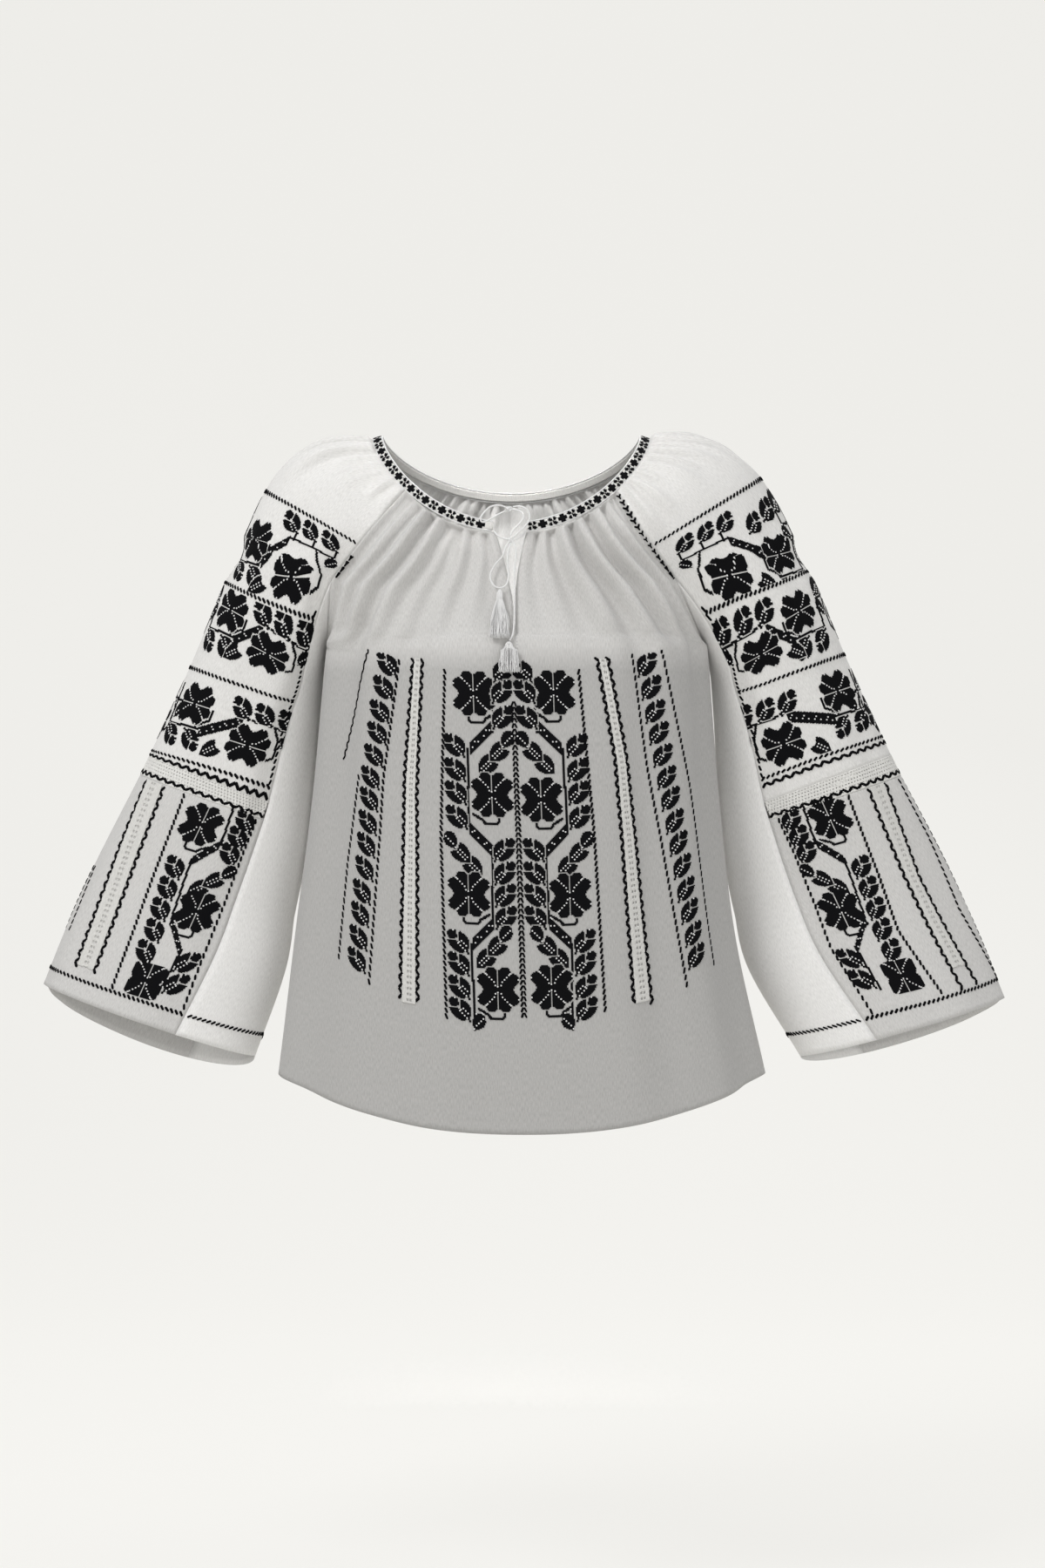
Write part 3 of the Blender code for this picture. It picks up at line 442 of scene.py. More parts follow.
# %% Rings of a sleeve
def armpit_ends(side):
    """Where the first ring's own ellipse would put the two gore seams."""
    first = SLEEVE[0]
    sign = SIDES[side]
    inner = getattr(first, "inner_" + side)
    turn = math.radians(first.turn)
    x = sign * ((first.outer + inner) / 2 + (first.outer - inner) / 2 * math.cos(turn))
    z = (first.outer_z + first.inner_z) / 2 + (first.outer_z - first.inner_z) / 2 * math.cos(turn)
    reach = first.deep * math.sin(turn)
    return point(x, first.y - reach, z), point(x, first.y + reach, z)


def sleeve_ring(side, down):
    """Outer, inner, front-seam and back-seam points of sleeve rings."""
    sign = SIDES[side]
    y = read(SLEEVE, "y", down)
    outer = point(sign * read(SLEEVE, "outer", down), y, read(SLEEVE, "outer_z", down))
    inner = point(sign * read(SLEEVE, "inner_" + side, down), y, read(SLEEVE, "inner_z", down))
    turn = np.radians(read(SLEEVE, "turn", down))
    middle = (outer + inner) / 2 + (outer - inner) / 2 * np.cos(turn)[..., None]
    reach = point(0, read(SLEEVE, "deep", down) * np.sin(turn), 0)
    fade = (np.maximum(0, 1 - down / ARMPIT_FADE) ** 2)[..., None]
    front_top, back_top = armpit_ends(side)
    front = middle - reach + (seam(RAGLAN_FRONT, side, 1) - front_top) * fade
    back = middle + reach + (seam(RAGLAN_BACK, side, 1) - back_top) * fade
    inner = inner + (seam(SIDE_SEAM, side, 2) - inner) * fade ** 3
    return outer, inner, front, back


def cuff_drop(side, angle, down):
    """How far the cuff hangs beyond its ring; angle is 0 at the outer point and positive at the back."""
    drop = read(SLEEVE, "drop_" + side, down) * np.maximum(np.sin(angle), 0.0)
    lip = read(SLEEVE, "lip_" + side, down) * (1 + np.cos(angle)) / 2
    return point(SIDES[side] * LIP_OUT * lip, 0, -drop - LIP_DOWN * lip)


print("front seam of the left cuff:", sleeve_ring("left", CUFF)[2].round(3))

# %% The main cloth of a sleeve
def sleeve_surface(side):
    """Main cloth of a sleeve; down is -1 at the neck, 0 at the armpit, then metres down the sleeve."""
    sign = SIDES[side]
    corners = sign * np.radians([RAGLAN_TURN, 90, 180 - RAGLAN_TURN])

    def surface(across, down):
        across, down = np.broadcast_arrays(np.asarray(across, float), np.clip(down, -1.0, CUFF))
        at = np.minimum(1 + down, 1)
        top = point(read(CROWN, side, at), read(CROWN, "y", at), read(CROWN, "z", at))
        upper = arch(seam(RAGLAN_FRONT, side, at), top, seam(RAGLAN_BACK, side, at),
                     read(CROWN, "turn", at), across)
        own = arch(*(neckline(corner) for corner in corners), SHOULDER_TURN, across)
        rim = neckline(sign * (math.pi / 2 + across * math.radians(SHOULDER_TURN)))
        upper += (rim - own) * (1 - ease(0, 1, at))[..., None]
        below = np.maximum(down, 0)
        outer, _, front, back = sleeve_ring(side, below)
        turn = read(SLEEVE, "turn", below)
        outer[..., 0] += (read(CROWN, side, 1) - outer[..., 0]) * (1 - ease(0, ARMPIT_JOIN, below))
        lower = arch(front, outer, back, turn, across)
        lower += cuff_drop(side, across * np.radians(turn), below)
        return np.where((down < 0)[..., None], upper, lower)
    return surface


print("crown of the shoulder at the ring:", sleeve_surface("left")(0.0, LACE_TOP).round(3))

# %% [markdown]
# The gore hangs against the side of the body, so it sags a little towards it between armpit and elbow.

# %% The gores
TOUCH = [(0.02, 0), (0.08, 0.0018), (0.18, 0.0036), (0.27, 0.0044), (0.36, 0)]    # sag, by metres down


def gore_surface(side):
    """The plain wedge under the arm: from the front gore seam (-1) to the back one (1)."""
    def surface(across, down):
        across, down = np.broadcast_arrays(np.asarray(across, float), np.clip(down, 0.0, CUFF))
        _, inner, front, back = sleeve_ring(side, down)
        rest = 180 - read(SLEEVE, "turn", down)
        turn = rest + (ARMPIT_TURN - rest) * (1 - ease(0, ARMPIT_JOIN, down))
        made = arch(front, inner, back, turn, across)
        made = made + cuff_drop(side, math.pi - across * np.radians(rest), down)
        made[..., 0] -= SIDES[side] * np.interp(down, *zip(*TOUCH)) * (1 - across * across)
        return made
    return surface


print("cuff, outer point:", sleeve_surface("left")(0.0, CUFF).round(3))

# %% [markdown]
# The gathers come in two sizes. The broad ridges are the model's own. Between and over them lie many
# fine pleats, each pinched in where the thread of the neck seam pulls it, and each of its own width.

# %% Folds
Fold = namedtuple("Fold", "across half deep start reach")
FOLD_RISE = 0.35
FOLD_HOLD = 0.45
FOLD_EDGE = 0.86
PINCH_RISE = 0.03
PINCH_EDGE = 0.97
STEP = 0.01                      # step for measuring a surface's direction


def folds(*rows):
    """Folds from rows of place across, half width, depth, and the levels where they start and end."""
    return [Fold(*row) for row in rows]


FRONT_FOLDS = folds(
    (-0.84, 0.085, 0.0046, 0.05, 2.35), (-0.63, 0.075, 0.0042, 0.00, 1.90),
    (-0.44, 0.070, 0.0050, 0.02, 2.10), (-0.27, 0.060, 0.0036, 0.00, 1.70),
    (-0.13, 0.045, 0.0026, 0.10, 1.50), (0.16, 0.050, 0.0028, 0.05, 1.55),
    (0.33, 0.060, 0.0038, 0.00, 1.75), (0.52, 0.065, 0.0048, 0.03, 2.20),
    (0.70, 0.060, 0.0040, 0.00, 1.95), (0.87, 0.070, 0.0042, 0.08, 2.40))
BACK_FOLDS = folds(
    (-0.80, 0.090, 0.0045, 0.02, 2.20), (-0.53, 0.080, 0.0040, 0.00, 1.80),
    (-0.28, 0.075, 0.0048, 0.05, 2.05), (-0.03, 0.070, 0.0036, 0.00, 1.70),
    (0.22, 0.080, 0.0046, 0.04, 2.15), (0.50, 0.075, 0.0038, 0.00, 1.75),
    (0.78, 0.090, 0.0044, 0.06, 2.25))
HEAD_FOLDS = folds(
    (-0.66, 0.130, 0.0040, -1.00, -0.15), (-0.30, 0.110, 0.0030, -0.95, -0.30),
    (0.30, 0.120, 0.0032, -1.00, -0.25), (0.66, 0.130, 0.0040, -0.97, -0.10))


def pleats(count, seed, neck, deep, reach):
    """Fine pleats along a neck seam, uneven in place, width, depth and length."""
    chance = np.random.default_rng(seed)
    made = []
    for k in range(count):
        across = -1 + 2 * (k + 0.5 + chance.uniform(-0.3, 0.3)) / count
        made.append(Fold(across, chance.uniform(0.36, 0.58) / count, deep * chance.uniform(0.5, 1.5),
                         neck, neck + reach * chance.uniform(0.35, 1.0)))
    return made


def fold_height(ridges, rise, edge, across, down):
    """How far folds lift the cloth at each place; they die out at the seams."""
    height = np.zeros(across.shape)
    for fold in ridges:
        offset = np.clip((across - fold.across) / fold.half, -2, 2)
        ridge = (1 + np.cos(math.pi / 2 * offset)) / 2
        risen = ease(fold.start, fold.start + rise, down)
        sink = fold.start + FOLD_HOLD * (fold.reach - fold.start)
        height += fold.deep * ridge * risen * (1 - ease(sink, fold.reach, down))
    return height * (1 - ease(edge, 1.0, np.abs(across)))


def outward(surface, across, down, step):
    """Directions straight off a surface, measured over small steps across it and down it."""
    along = surface(across + step, down) - surface(across - step, down)
    below = surface(across, down + step) - surface(across, down - step)
    return unit(np.cross(below, along))


def folded(base, broad, fine, facing):
    """The surface base(across, down) with its folds standing out along its normal."""
    def surface(across, down):
        across, down = np.broadcast_arrays(np.asarray(across, float), np.asarray(down, float))
        height = fold_height(broad, FOLD_RISE, FOLD_EDGE, across, down)
        height = height + fold_height(fine, PINCH_RISE, PINCH_EDGE, across, down)
        return base(across, down) + outward(base, across, down, STEP) * height[..., None] * facing
    return surface


print("folds of the front:", len(FRONT_FOLDS), "of the back:", len(BACK_FOLDS))

# %% [markdown]
# The front's gathers are set one at a time, a valley here and a ridge there. Below them every panel
# falls in a few long, shallow drapes, which start at different levels and run on to the edge.

# %% The folded panels
FRONT_GATHERS = folds(
    (-0.92, 0.050, -0.0070, 0.00, 2.21), (-0.78, 0.042, -0.0070, 0.00, 2.08),
    (-0.70, 0.035, 0.0056, 0.00, 2.47), (-0.62, 0.040, -0.0078, 0.00, 2.27),
    (-0.54, 0.035, 0.0062, 0.00, 2.60), (-0.46, 0.036, -0.0076, 0.00, 2.21),
    (-0.36, 0.050, -0.0092, 0.00, 2.60), (-0.22, 0.036, -0.0067, 0.00, 2.08),
    (-0.10, 0.030, -0.0050, 0.02, 1.82), (0.10, 0.034, -0.0059, 0.00, 1.95),
    (0.24, 0.036, -0.0067, 0.00, 2.21), (0.34, 0.040, 0.0073, 0.00, 2.60),
    (0.43, 0.036, -0.0073, 0.00, 2.15), (0.51, 0.036, 0.0067, 0.00, 2.41),
    (0.60, 0.036, -0.0073, 0.00, 2.21), (0.68, 0.040, 0.0078, 0.00, 2.60),
    (0.79, 0.045, -0.0070, 0.00, 2.15), (0.93, 0.045, -0.0056, 0.00, 2.08))
FRONT_DRAPES = folds(
    (-0.80, 0.100, 0.0050, 1.50, 5.00), (-0.66, 0.080, -0.0040, 1.20, 4.40),
    (-0.34, 0.070, -0.0030, 1.40, 4.60), (-0.20, 0.080, 0.0028, 1.90, 5.20),
    (0.26, 0.080, 0.0026, 1.90, 5.20), (0.37, 0.060, -0.0032, 1.30, 4.40),
    (0.58, 0.080, 0.0036, 1.60, 4.80), (0.74, 0.090, -0.0046, 1.20, 4.80),
    (0.86, 0.080, 0.0044, 1.70, 5.00))
BACK_DRAPES = folds(
    (-0.70, 0.110, 0.0052, 0.80, 5.00), (-0.40, 0.090, -0.0044, 0.90, 4.60),
    (-0.12, 0.080, 0.0040, 0.70, 4.40), (0.16, 0.090, -0.0042, 1.00, 5.00),
    (0.44, 0.100, 0.0046, 0.80, 4.60), (0.72, 0.100, -0.0050, 1.10, 5.00))
SLEEVE_DRAPES = {
    "left": folds(
        (-0.86, 0.080, 0.0034, -0.60, 0.90), (-0.62, 0.060, -0.0026, -0.70, 0.50),
        (-0.30, 0.080, 0.0028, 0.10, 1.60), (0.06, 0.070, -0.0030, -0.30, 1.30),
        (0.40, 0.100, 0.0040, -0.40, 1.40), (0.72, 0.090, -0.0036, -0.50, 1.20)),
    "right": folds(
        (-0.84, 0.070, 0.0036, -0.55, 0.80), (-0.66, 0.070, -0.0024, 0.00, 1.20),
        (-0.34, 0.070, -0.0026, -0.40, 1.00), (-0.10, 0.080, 0.0030, 0.12, 1.60),
        (0.34, 0.100, -0.0038, -0.50, 1.30), (0.70, 0.100, 0.0042, -0.40, 1.30)),
}
FRONT_PLEATS = pleats(38, seed=11, neck=0.0, deep=0.0020, reach=0.90)
FRONT = folded(body_surface(FRONT_MIDDLE, RAGLAN_FRONT, -1), FRONT_FOLDS + FRONT_DRAPES,
               FRONT_GATHERS + FRONT_PLEATS, 1)
BACK = folded(body_surface(BACK_MIDDLE, RAGLAN_BACK, 1), BACK_FOLDS + BACK_DRAPES,
              pleats(32, seed=12, neck=0.0, deep=0.0042, reach=1.60), -1)
HEAD, GORE = {}, {}
for side, sign in SIDES.items():
    head_pleats = pleats(17, seed=13 + sign, neck=-1.0, deep=0.0056, reach=0.80)
    HEAD[side] = folded(sleeve_surface(side), HEAD_FOLDS + SLEEVE_DRAPES[side], head_pleats, sign)
    GORE[side] = gore_surface(side)
print("front middle at the hem:", FRONT(0.0, HEM).round(3))
# %% [markdown]
# ## Working coordinates
# An embroiderer counts threads: so many across, so many down. A patch gives each worked area such
# coordinates on its curved cloth, in metres along the threads from a middle line and down from the
# first row. Its rows follow the weft, which slants and sags as the rows of stitches do on a worn
# sleeve. Anything drawn flat in these coordinates is then wrapped onto the cloth.

# %% Patches
Rung = namedtuple("Rung", "crown middle seam")
ABOVE = 0.19                     # metres of sleeve cloth to one level above the underarm
HALFWAY = 0.36                   # square of 0.6, the place between crown and seam that a rung gives
NEAR = 0.004                     # step for measuring a patch's direction
PATCH_COLUMNS = 240              # places at which a patch is measured across
PATCH_STEPS = 10                 # and down, from one rung to the next


def rung_down(rung, across):
    """Level of a slanting row at each place across: given at 0, at 0.6 and at 1 from the middle."""
    square = across * across
    first = (rung.middle - rung.crown) / HALFWAY
    second = (rung.seam - rung.crown - first) / (1 - HALFWAY)
    return rung.crown + first * square + second * square * (square - HALFWAY)


def straight_rungs(downs):
    return [Rung(down, down, down) for down in downs]


class Patch:
    """Working coordinates on a surface: x along its rows from a middle line, y up them, z off the cloth."""

    def __init__(self, surface, facing, rungs, middle):
        self.surface = surface
        self.facing = facing
        self.across = np.linspace(-1, 1, PATCH_COLUMNS + 1)
        lines = np.array([rung_down(rung, self.across) for rung in rungs])
        lines = np.where(lines < 0, lines * ABOVE, lines)
        share = np.linspace(0, len(rungs) - 1, PATCH_STEPS * (len(rungs) - 1) + 1)
        low = np.minimum(share.astype(int), len(rungs) - 2)
        self.downs = lines[low] + (lines[low + 1] - lines[low]) * (share - low)[:, None]
        self.downs = np.where(self.downs < 0, self.downs / ABOVE, self.downs)
        cloth = surface(np.broadcast_to(self.across, self.downs.shape), self.downs)
        along = np.linalg.norm(np.diff(cloth, axis=1), axis=2)
        self.reach = np.concatenate([np.zeros((len(share), 1)), np.cumsum(along, axis=1)], axis=1)
        place = np.interp(share, np.linspace(0, len(rungs) - 1, len(middle)), middle)
        for row, here in zip(self.reach, place):
            row -= np.interp(here, self.across, row)
        spine_downs = [np.interp(here, self.across, down) for here, down in zip(place, self.downs)]
        self.depth = run_along(surface(place, np.array(spine_downs)))
        self.width = np.linspace(self.reach[:, 0].min(), self.reach[:, -1].max(), 2 * PATCH_COLUMNS)
        rows = list(zip(self.reach, self.downs))
        self.across_of = np.array([np.interp(self.width, row, self.across) for row, _ in rows])
        self.down_of = np.array([np.interp(self.width, row, down) for row, down in rows])

    def places(self, x, y):
        """Across and down on the surface for working coordinates."""
        row = np.interp(-y, self.depth, np.arange(len(self.depth)))
        column = np.interp(x, self.width, np.arange(len(self.width)))
        j = np.minimum(row.astype(int), len(self.depth) - 2)
        i = np.minimum(column.astype(int), len(self.width) - 2)
        v, u = row - j, column - i
        made = []
        for grid in (self.across_of, self.down_of):
            upper = grid[j, i] * (1 - u) + grid[j, i + 1] * u
            lower = grid[j + 1, i] * (1 - u) + grid[j + 1, i + 1] * u
            made.append(upper * (1 - v) + lower * v)
        return made

    def wrap(self, flat):
        """Points in working coordinates, as points on and off the cloth."""
        across, down = self.places(flat[:, 0], flat[:, 1])
        out = outward(self.surface, across, down, NEAR) * self.facing
        return self.surface(across, down) + out * flat[:, 2:]


print("a patch is measured at", PATCH_COLUMNS + 1, "places across")

# %% The worked areas
FRONT_ROWS = np.linspace(1.93, 2.84, 8)
FRONT_SPINE = [-0.014, -0.002, 0.003]      # places across, from top to bottom, of its middle line
ALTITA_RUNGS = {
    "left": [Rung(-0.300, -0.356, -0.435), Rung(-0.243, -0.299, -0.377), Rung(0.049, 0.033, 0.019),
             Rung(0.139, 0.125, 0.099), Rung(0.233, 0.225, 0.218), Rung(0.2405, 0.2405, 0.2405)],
    "right": [Rung(-0.380, -0.398, -0.420), Rung(-0.322, -0.340, -0.362), Rung(0.039, 0.026, 0.018),
              Rung(0.128, 0.113, 0.088), Rung(0.221, 0.216, 0.214), Rung(0.2405, 0.2405, 0.2405)],
}
ALTITA_SPINE = [-0.45]
LOWER_ROWS = (LACE_TOP, 0.310, 0.380, 0.440, CUFF)
LOWER_SPINE = [-0.55]
PATCHES = {"front": Patch(FRONT, 1, straight_rungs(FRONT_ROWS), FRONT_SPINE)}
for side, sign in SIDES.items():
    PATCHES["altita_" + side] = Patch(HEAD[side], sign, ALTITA_RUNGS[side], ALTITA_SPINE)
    PATCHES["lower_" + side] = Patch(HEAD[side], sign, straight_rungs(LOWER_ROWS), LOWER_SPINE)
for name, patch in PATCHES.items():
    print(name, "from", patch.width[[0, -1]].round(3), "depth", patch.depth[-1].round(3))
# %% [markdown]
# ## The cloth
# Gauze is woven loosely from fine, uneven cotton: the threads show as a faint grid with thicker
# slubs, it glows where light comes through, and it has a soft sheen at grazing angles. The worked
# panels are of the same cotton, whiter and denser under their embroidery. Below the yoke the body's
# gauze is painted darker: painted shade of the hollow inside seen through the thin cloth, and partly
# the yoke's denser weave. The back and the gores take a paler copy of the gauze, painted light on
# parts that stand in shade.

# %% Cloth materials
THREAD = 0.0011                  # two threads of the weave, about one cross of the embroidery
THIN_SHADE_FROM = (-0.236, -0.212)     # heights between which the body's gauze turns from thin, darkened by painted shade, to the denser yoke


def weave(tree, shader, depth, slub):
    """Bump of a plain weave in the cloth's own metres, broken up by slubs; returns the slub node."""
    place = node(tree, "ShaderNodeUVMap", uv_map="UVMap")
    both = crossed_waves(tree, place, (0.0, math.pi / 2), Scale=math.pi / 10 / (THREAD / 2),
                         Distortion=1.2, Detail=1.0, Detail_Scale=0.6)
    stretched = node(tree, "ShaderNodeMapping", Scale=(1.0, 0.16, 1.0))
    link(tree, place, "UV", stretched, "Vector")
    slubs = node(tree, "ShaderNodeTexNoise", Scale=1300.0, Detail=2.0, Roughness=0.55)
    link(tree, stretched, "Vector", slubs, "Vector")
    rough = node(tree, "ShaderNodeMath", operation="MULTIPLY_ADD")
    link(tree, slubs, "Fac", rough, 0)
    rough.inputs[1].default_value = slub
    link(tree, both, "Value", rough, 2)
    bumped(tree, shader, rough, "Value", 0.6, depth)
    return slubs


def cloth_material(name, low, high, roughness, see_through, depth=0.00022, slub=0.5, thin_shade=0):
    """Cotton between two shades, with sheen, a weave and, if thin, some light let through; with a factor for
    thin cloth it is also darker below a height, painted shade of the hollow inside.
    """
    made, tree, shader = new_material(name, high, roughness)
    slubs = weave(tree, shader, depth, slub)
    shade = mixed_colour(tree, slubs, "Fac", low, high)
    shade.color_ramp.elements[0].position = 0.32
    shade.color_ramp.elements[1].position = 0.62
    body = node(tree, "ShaderNodeTexCoord")
    wide = node(tree, "ShaderNodeTexNoise", Scale=14.0, Detail=2.0)
    link(tree, body, "Object", wide, "Vector")
    # Painted shade: below the yoke the colour is scaled down, standing for the shaded hollow inside seen
    # through the thin gauze; the yoke above keeps its denser, paler weave.
    if thin_shade:
        axes = node(tree, "ShaderNodeSeparateXYZ")
        link(tree, body, "Object", axes, "Vector")
        share = node(tree, "ShaderNodeMapRange", From_Min=THIN_SHADE_FROM[0], From_Max=THIN_SHADE_FROM[1],
                     To_Min=thin_shade)
        link(tree, axes, "Z", share, "Value")
        shade_scaled = node(tree, "ShaderNodeVectorMath", operation="SCALE")
        link(tree, shade, "Color", shade_scaled, "Vector")
        link(tree, share, "Result", shade_scaled, "Scale")
        link(tree, shade_scaled, "Vector", shader, "Base Color")
    else:
        link(tree, shade, "Color", shader, "Base Color")
    roughened(tree, shader, wide, roughness - 0.08, roughness + 0.08)
    shader.inputs["Sheen Weight"].default_value = 0.25
    shader.inputs["Sheen Roughness"].default_value = 0.45
    shader.inputs["Specular IOR Level"].default_value = 0.15
    shader.inputs["Alpha"].default_value = 1.0 - see_through
    return made


# The body's gauze: darker below the yoke, painted shade of the hollow inside, partly its thinner weave.
GAUZE = cloth_material("cotton gauze", (0.51, 0.50, 0.485), (0.62, 0.61, 0.592), 0.86, 0.06, thin_shade=0.76)
# A paler copy of the gauze for the back and the gores: painted light, lifting parts that stand in shade.
SHADE_LIFTED_GAUZE = cloth_material("shade-lifted gauze", (0.74, 0.73, 0.71), (0.86, 0.85, 0.83), 0.86, 0.06)
SLEEVE_GAUZE = cloth_material("sleeve gauze", (0.52, 0.51, 0.495), (0.63, 0.62, 0.602), 0.86, 0.06)
WORKED = cloth_material("worked cotton", (0.61, 0.60, 0.58), (0.73, 0.72, 0.70), 0.85, 0.0)
COARSE = {"depth": 0.0004, "slub": 0.8}
STRIP = cloth_material("openwork strip", (0.58, 0.57, 0.545), (0.68, 0.67, 0.64), 0.84, 0.0, **COARSE)
LACE = cloth_material("openwork", (0.64, 0.63, 0.60), (0.76, 0.75, 0.72), 0.84, 0.0, **COARSE)
print("cotton materials:", GAUZE.name, WORKED.name, LACE.name)

# %% [markdown]
# A sheet starts as a flat grid, like cloth on the loom. Its points are moved onto the surface, it
# keeps coordinates in metres along its own threads for the weave, and a modifier gives it the half
# millimetre of real gauze, with the surface at the middle of its thickness.

# %% Draping a sheet
GAUZE_THICK = 0.0005
TINY = 1e-6


def grid_mesh(name, wide, tall, gone=None):
    """A flat grid from -1 to 1, without the squares that gone(column, row) tells, rows from the top."""
    shape = bmesh.new()
    bmesh.ops.create_grid(shape, x_segments=wide, y_segments=tall, size=1)
    if gone:
        left_out = [face for k, face in enumerate(shape.faces) if gone(k % wide, tall - 1 - k // wide)]
        bmesh.ops.delete(shape, geom=left_out, context="FACES")
    mesh = bpy.data.meshes.new(name)
    shape.to_mesh(mesh)
    shape.free()
    return mesh


def draped(mesh, change, facing=1):
    """Move a mesh's points by change(points), which gives new points and their thread coordinates."""
    spots = np.empty(3 * len(mesh.vertices))
    mesh.vertices.foreach_get("co", spots)
    spots, threads = change(spots.reshape(-1, 3))
    mesh.vertices.foreach_set("co", spots.astype(np.float32).ravel())
    mesh.update()
    corner = np.empty(len(mesh.loops), np.int32)
    mesh.loops.foreach_get("vertex_index", corner)
    layer = mesh.uv_layers.new(name="UVMap")
    layer.data.foreach_set("uv", threads[corner].astype(np.float32).ravel())
    if facing < 0:
        mesh.flip_normals()
    return mesh


print("threads are counted in metres:", round(THREAD, 4), "to a cross")

# %% A finished piece
def finished(name, mesh, material, nodes=(), thickness=GAUZE_THICK, offset=0.0, open_under=False):
    """A piece from a mesh: material, thickness, smooth shading, and where it belongs."""
    made = bpy.data.objects.new(name, mesh)
    bpy.context.scene.collection.objects.link(made)
    mesh.materials.append(material)
    mesh.shade_smooth()
    if thickness:
        wall = made.modifiers.new("thickness", "SOLIDIFY")
        wall.thickness = thickness
        wall.offset = offset
        wall.use_rim_only = open_under
    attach(made, "root")
    if nodes:
        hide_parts(*nodes)
    return made


print("gauze", GAUZE_THICK * 1000, "mm thick")

# %% A sheet on its surface
def sheet_mesh(name, surface, columns, downs, slit=None):
    """A flat grid draped on a surface; slit(down) is how far its middle gapes to each side."""
    rows = len(downs) - 1
    shape = bmesh.new()
    bmesh.ops.create_grid(shape, x_segments=columns, y_segments=rows, size=1)
    lean = shape.verts.layers.float.new("lean")
    if slit:
        middle = [edge for edge in shape.edges if all(abs(end.co.x) < TINY for end in edge.verts)]
        open_edges = [edge for edge in middle
                      if all(slit(downs[round((1 - end.co.y) / 2 * rows)]) > 0 for end in edge.verts)
                      or max(end.co.y for end in edge.verts) > 1 - TINY]
        bmesh.ops.split_edges(shape, edges=open_edges)
        for end in shape.verts:
            if abs(end.co.x) < TINY:
                end[lean] = sum(face.calc_center_median().x for face in end.link_faces)
    mesh = bpy.data.meshes.new(name)
    shape.to_mesh(mesh)
    shape.free()
    leaning = np.empty(len(mesh.vertices), np.float32)
    mesh.attributes["lean"].data.foreach_get("value", leaning)
    across = np.linspace(-1, 1, columns + 1)
    cloth = surface(across[None, :], np.asarray(downs)[:, None])
    along = np.linalg.norm(np.diff(cloth, axis=1), axis=2).cumsum(axis=1)
    along = np.concatenate([np.zeros((rows + 1, 1)), along], axis=1)
    along -= along[:, [columns // 2]]
    below = np.linalg.norm(np.diff(cloth, axis=0), axis=2).mean(axis=1).cumsum()
    below = np.concatenate([[0], below])

    def onto(spots):
        i = np.rint((spots[:, 0] + 1) / 2 * columns).astype(int)
        j = np.rint((1 - spots[:, 1]) / 2 * rows).astype(int)
        made = cloth[j, i].copy()
        if slit:
            side = np.where(np.abs(spots[:, 0]) < TINY, np.sign(leaning), np.sign(spots[:, 0]))
            made[:, 0] += side * slit(np.asarray(downs)[j]) * (1 - np.abs(spots[:, 0]))
        return made, np.stack([along[j, i], -below[j]], axis=1)

    mesh.attributes.remove(mesh.attributes["lean"])
    return draped(mesh, onto)


print("sheets can be draped, split along the slit where it gapes")

# %% The cut of a sheet
def area_of(piece):
    """Area in square metres of the piece's cloth, one layer, before its thickness."""
    return sum(face.area for face in piece.data.polygons)


def declare_sheet(piece, width, length, held, rests_on, **facts):
    """State the flat cut of a sheet, and print how the draped cloth compares with it."""
    cut = facts.get("area", width * length)
    print(f"{piece.name}: cut {width:.3f} x {length:.3f} m, cloth {area_of(piece):.4f} of {cut:.4f} m2")


# %% [markdown]
# The front is slit from the neck for the head to pass. The slit's edges spread apart at the top, where
# the cord draws them together again.

# %% Front and back
SLIT_HALF = 0.0150               # half of the slit's width at the neck
SLIT_CLOSING = 1.6


def slit_gape(down):
    """How far each edge of the slit stands from the middle at a level; it closes at 1.667."""
    rows = np.where(down <= 1, 6 * down, 6 + 3 * (down - 1))
    return SLIT_HALF * np.maximum(1 - rows / 8, 0.0) ** SLIT_CLOSING


def level_rows(*stretches):
    """Levels of a sheet's rows, from stretches of first level, last level and rows."""
    made = [np.linspace(*stretch) for stretch in stretches]
    return np.concatenate([made[0]] + [levels[1:] for levels in made[1:]])


COLUMNS = {"front": 130, "back": 84, "sleeve": 90, "gore": 30}    # squares across each sheet
BODY_ROWS = level_rows((0, 0.2, 11), (0.2, 2, 53), (2, HEM, 81))
front_mesh = sheet_mesh("blouse_front", FRONT, COLUMNS["front"], BODY_ROWS, slit_gape)
front = finished("blouse_front", front_mesh, GAUZE, ["front"])
back_mesh = sheet_mesh("blouse_back", BACK, COLUMNS["back"], BODY_ROWS)
# The back takes the paler copy of the gauze: painted light on its shaded inside.
back = finished("blouse_back", back_mesh, SHADE_LIFTED_GAUZE, ["back"])
declare_sheet(front, 0.66, 0.60, "gathered", "neck_band")
declare_sheet(back, 0.66, 0.62, "gathered", "neck_band")

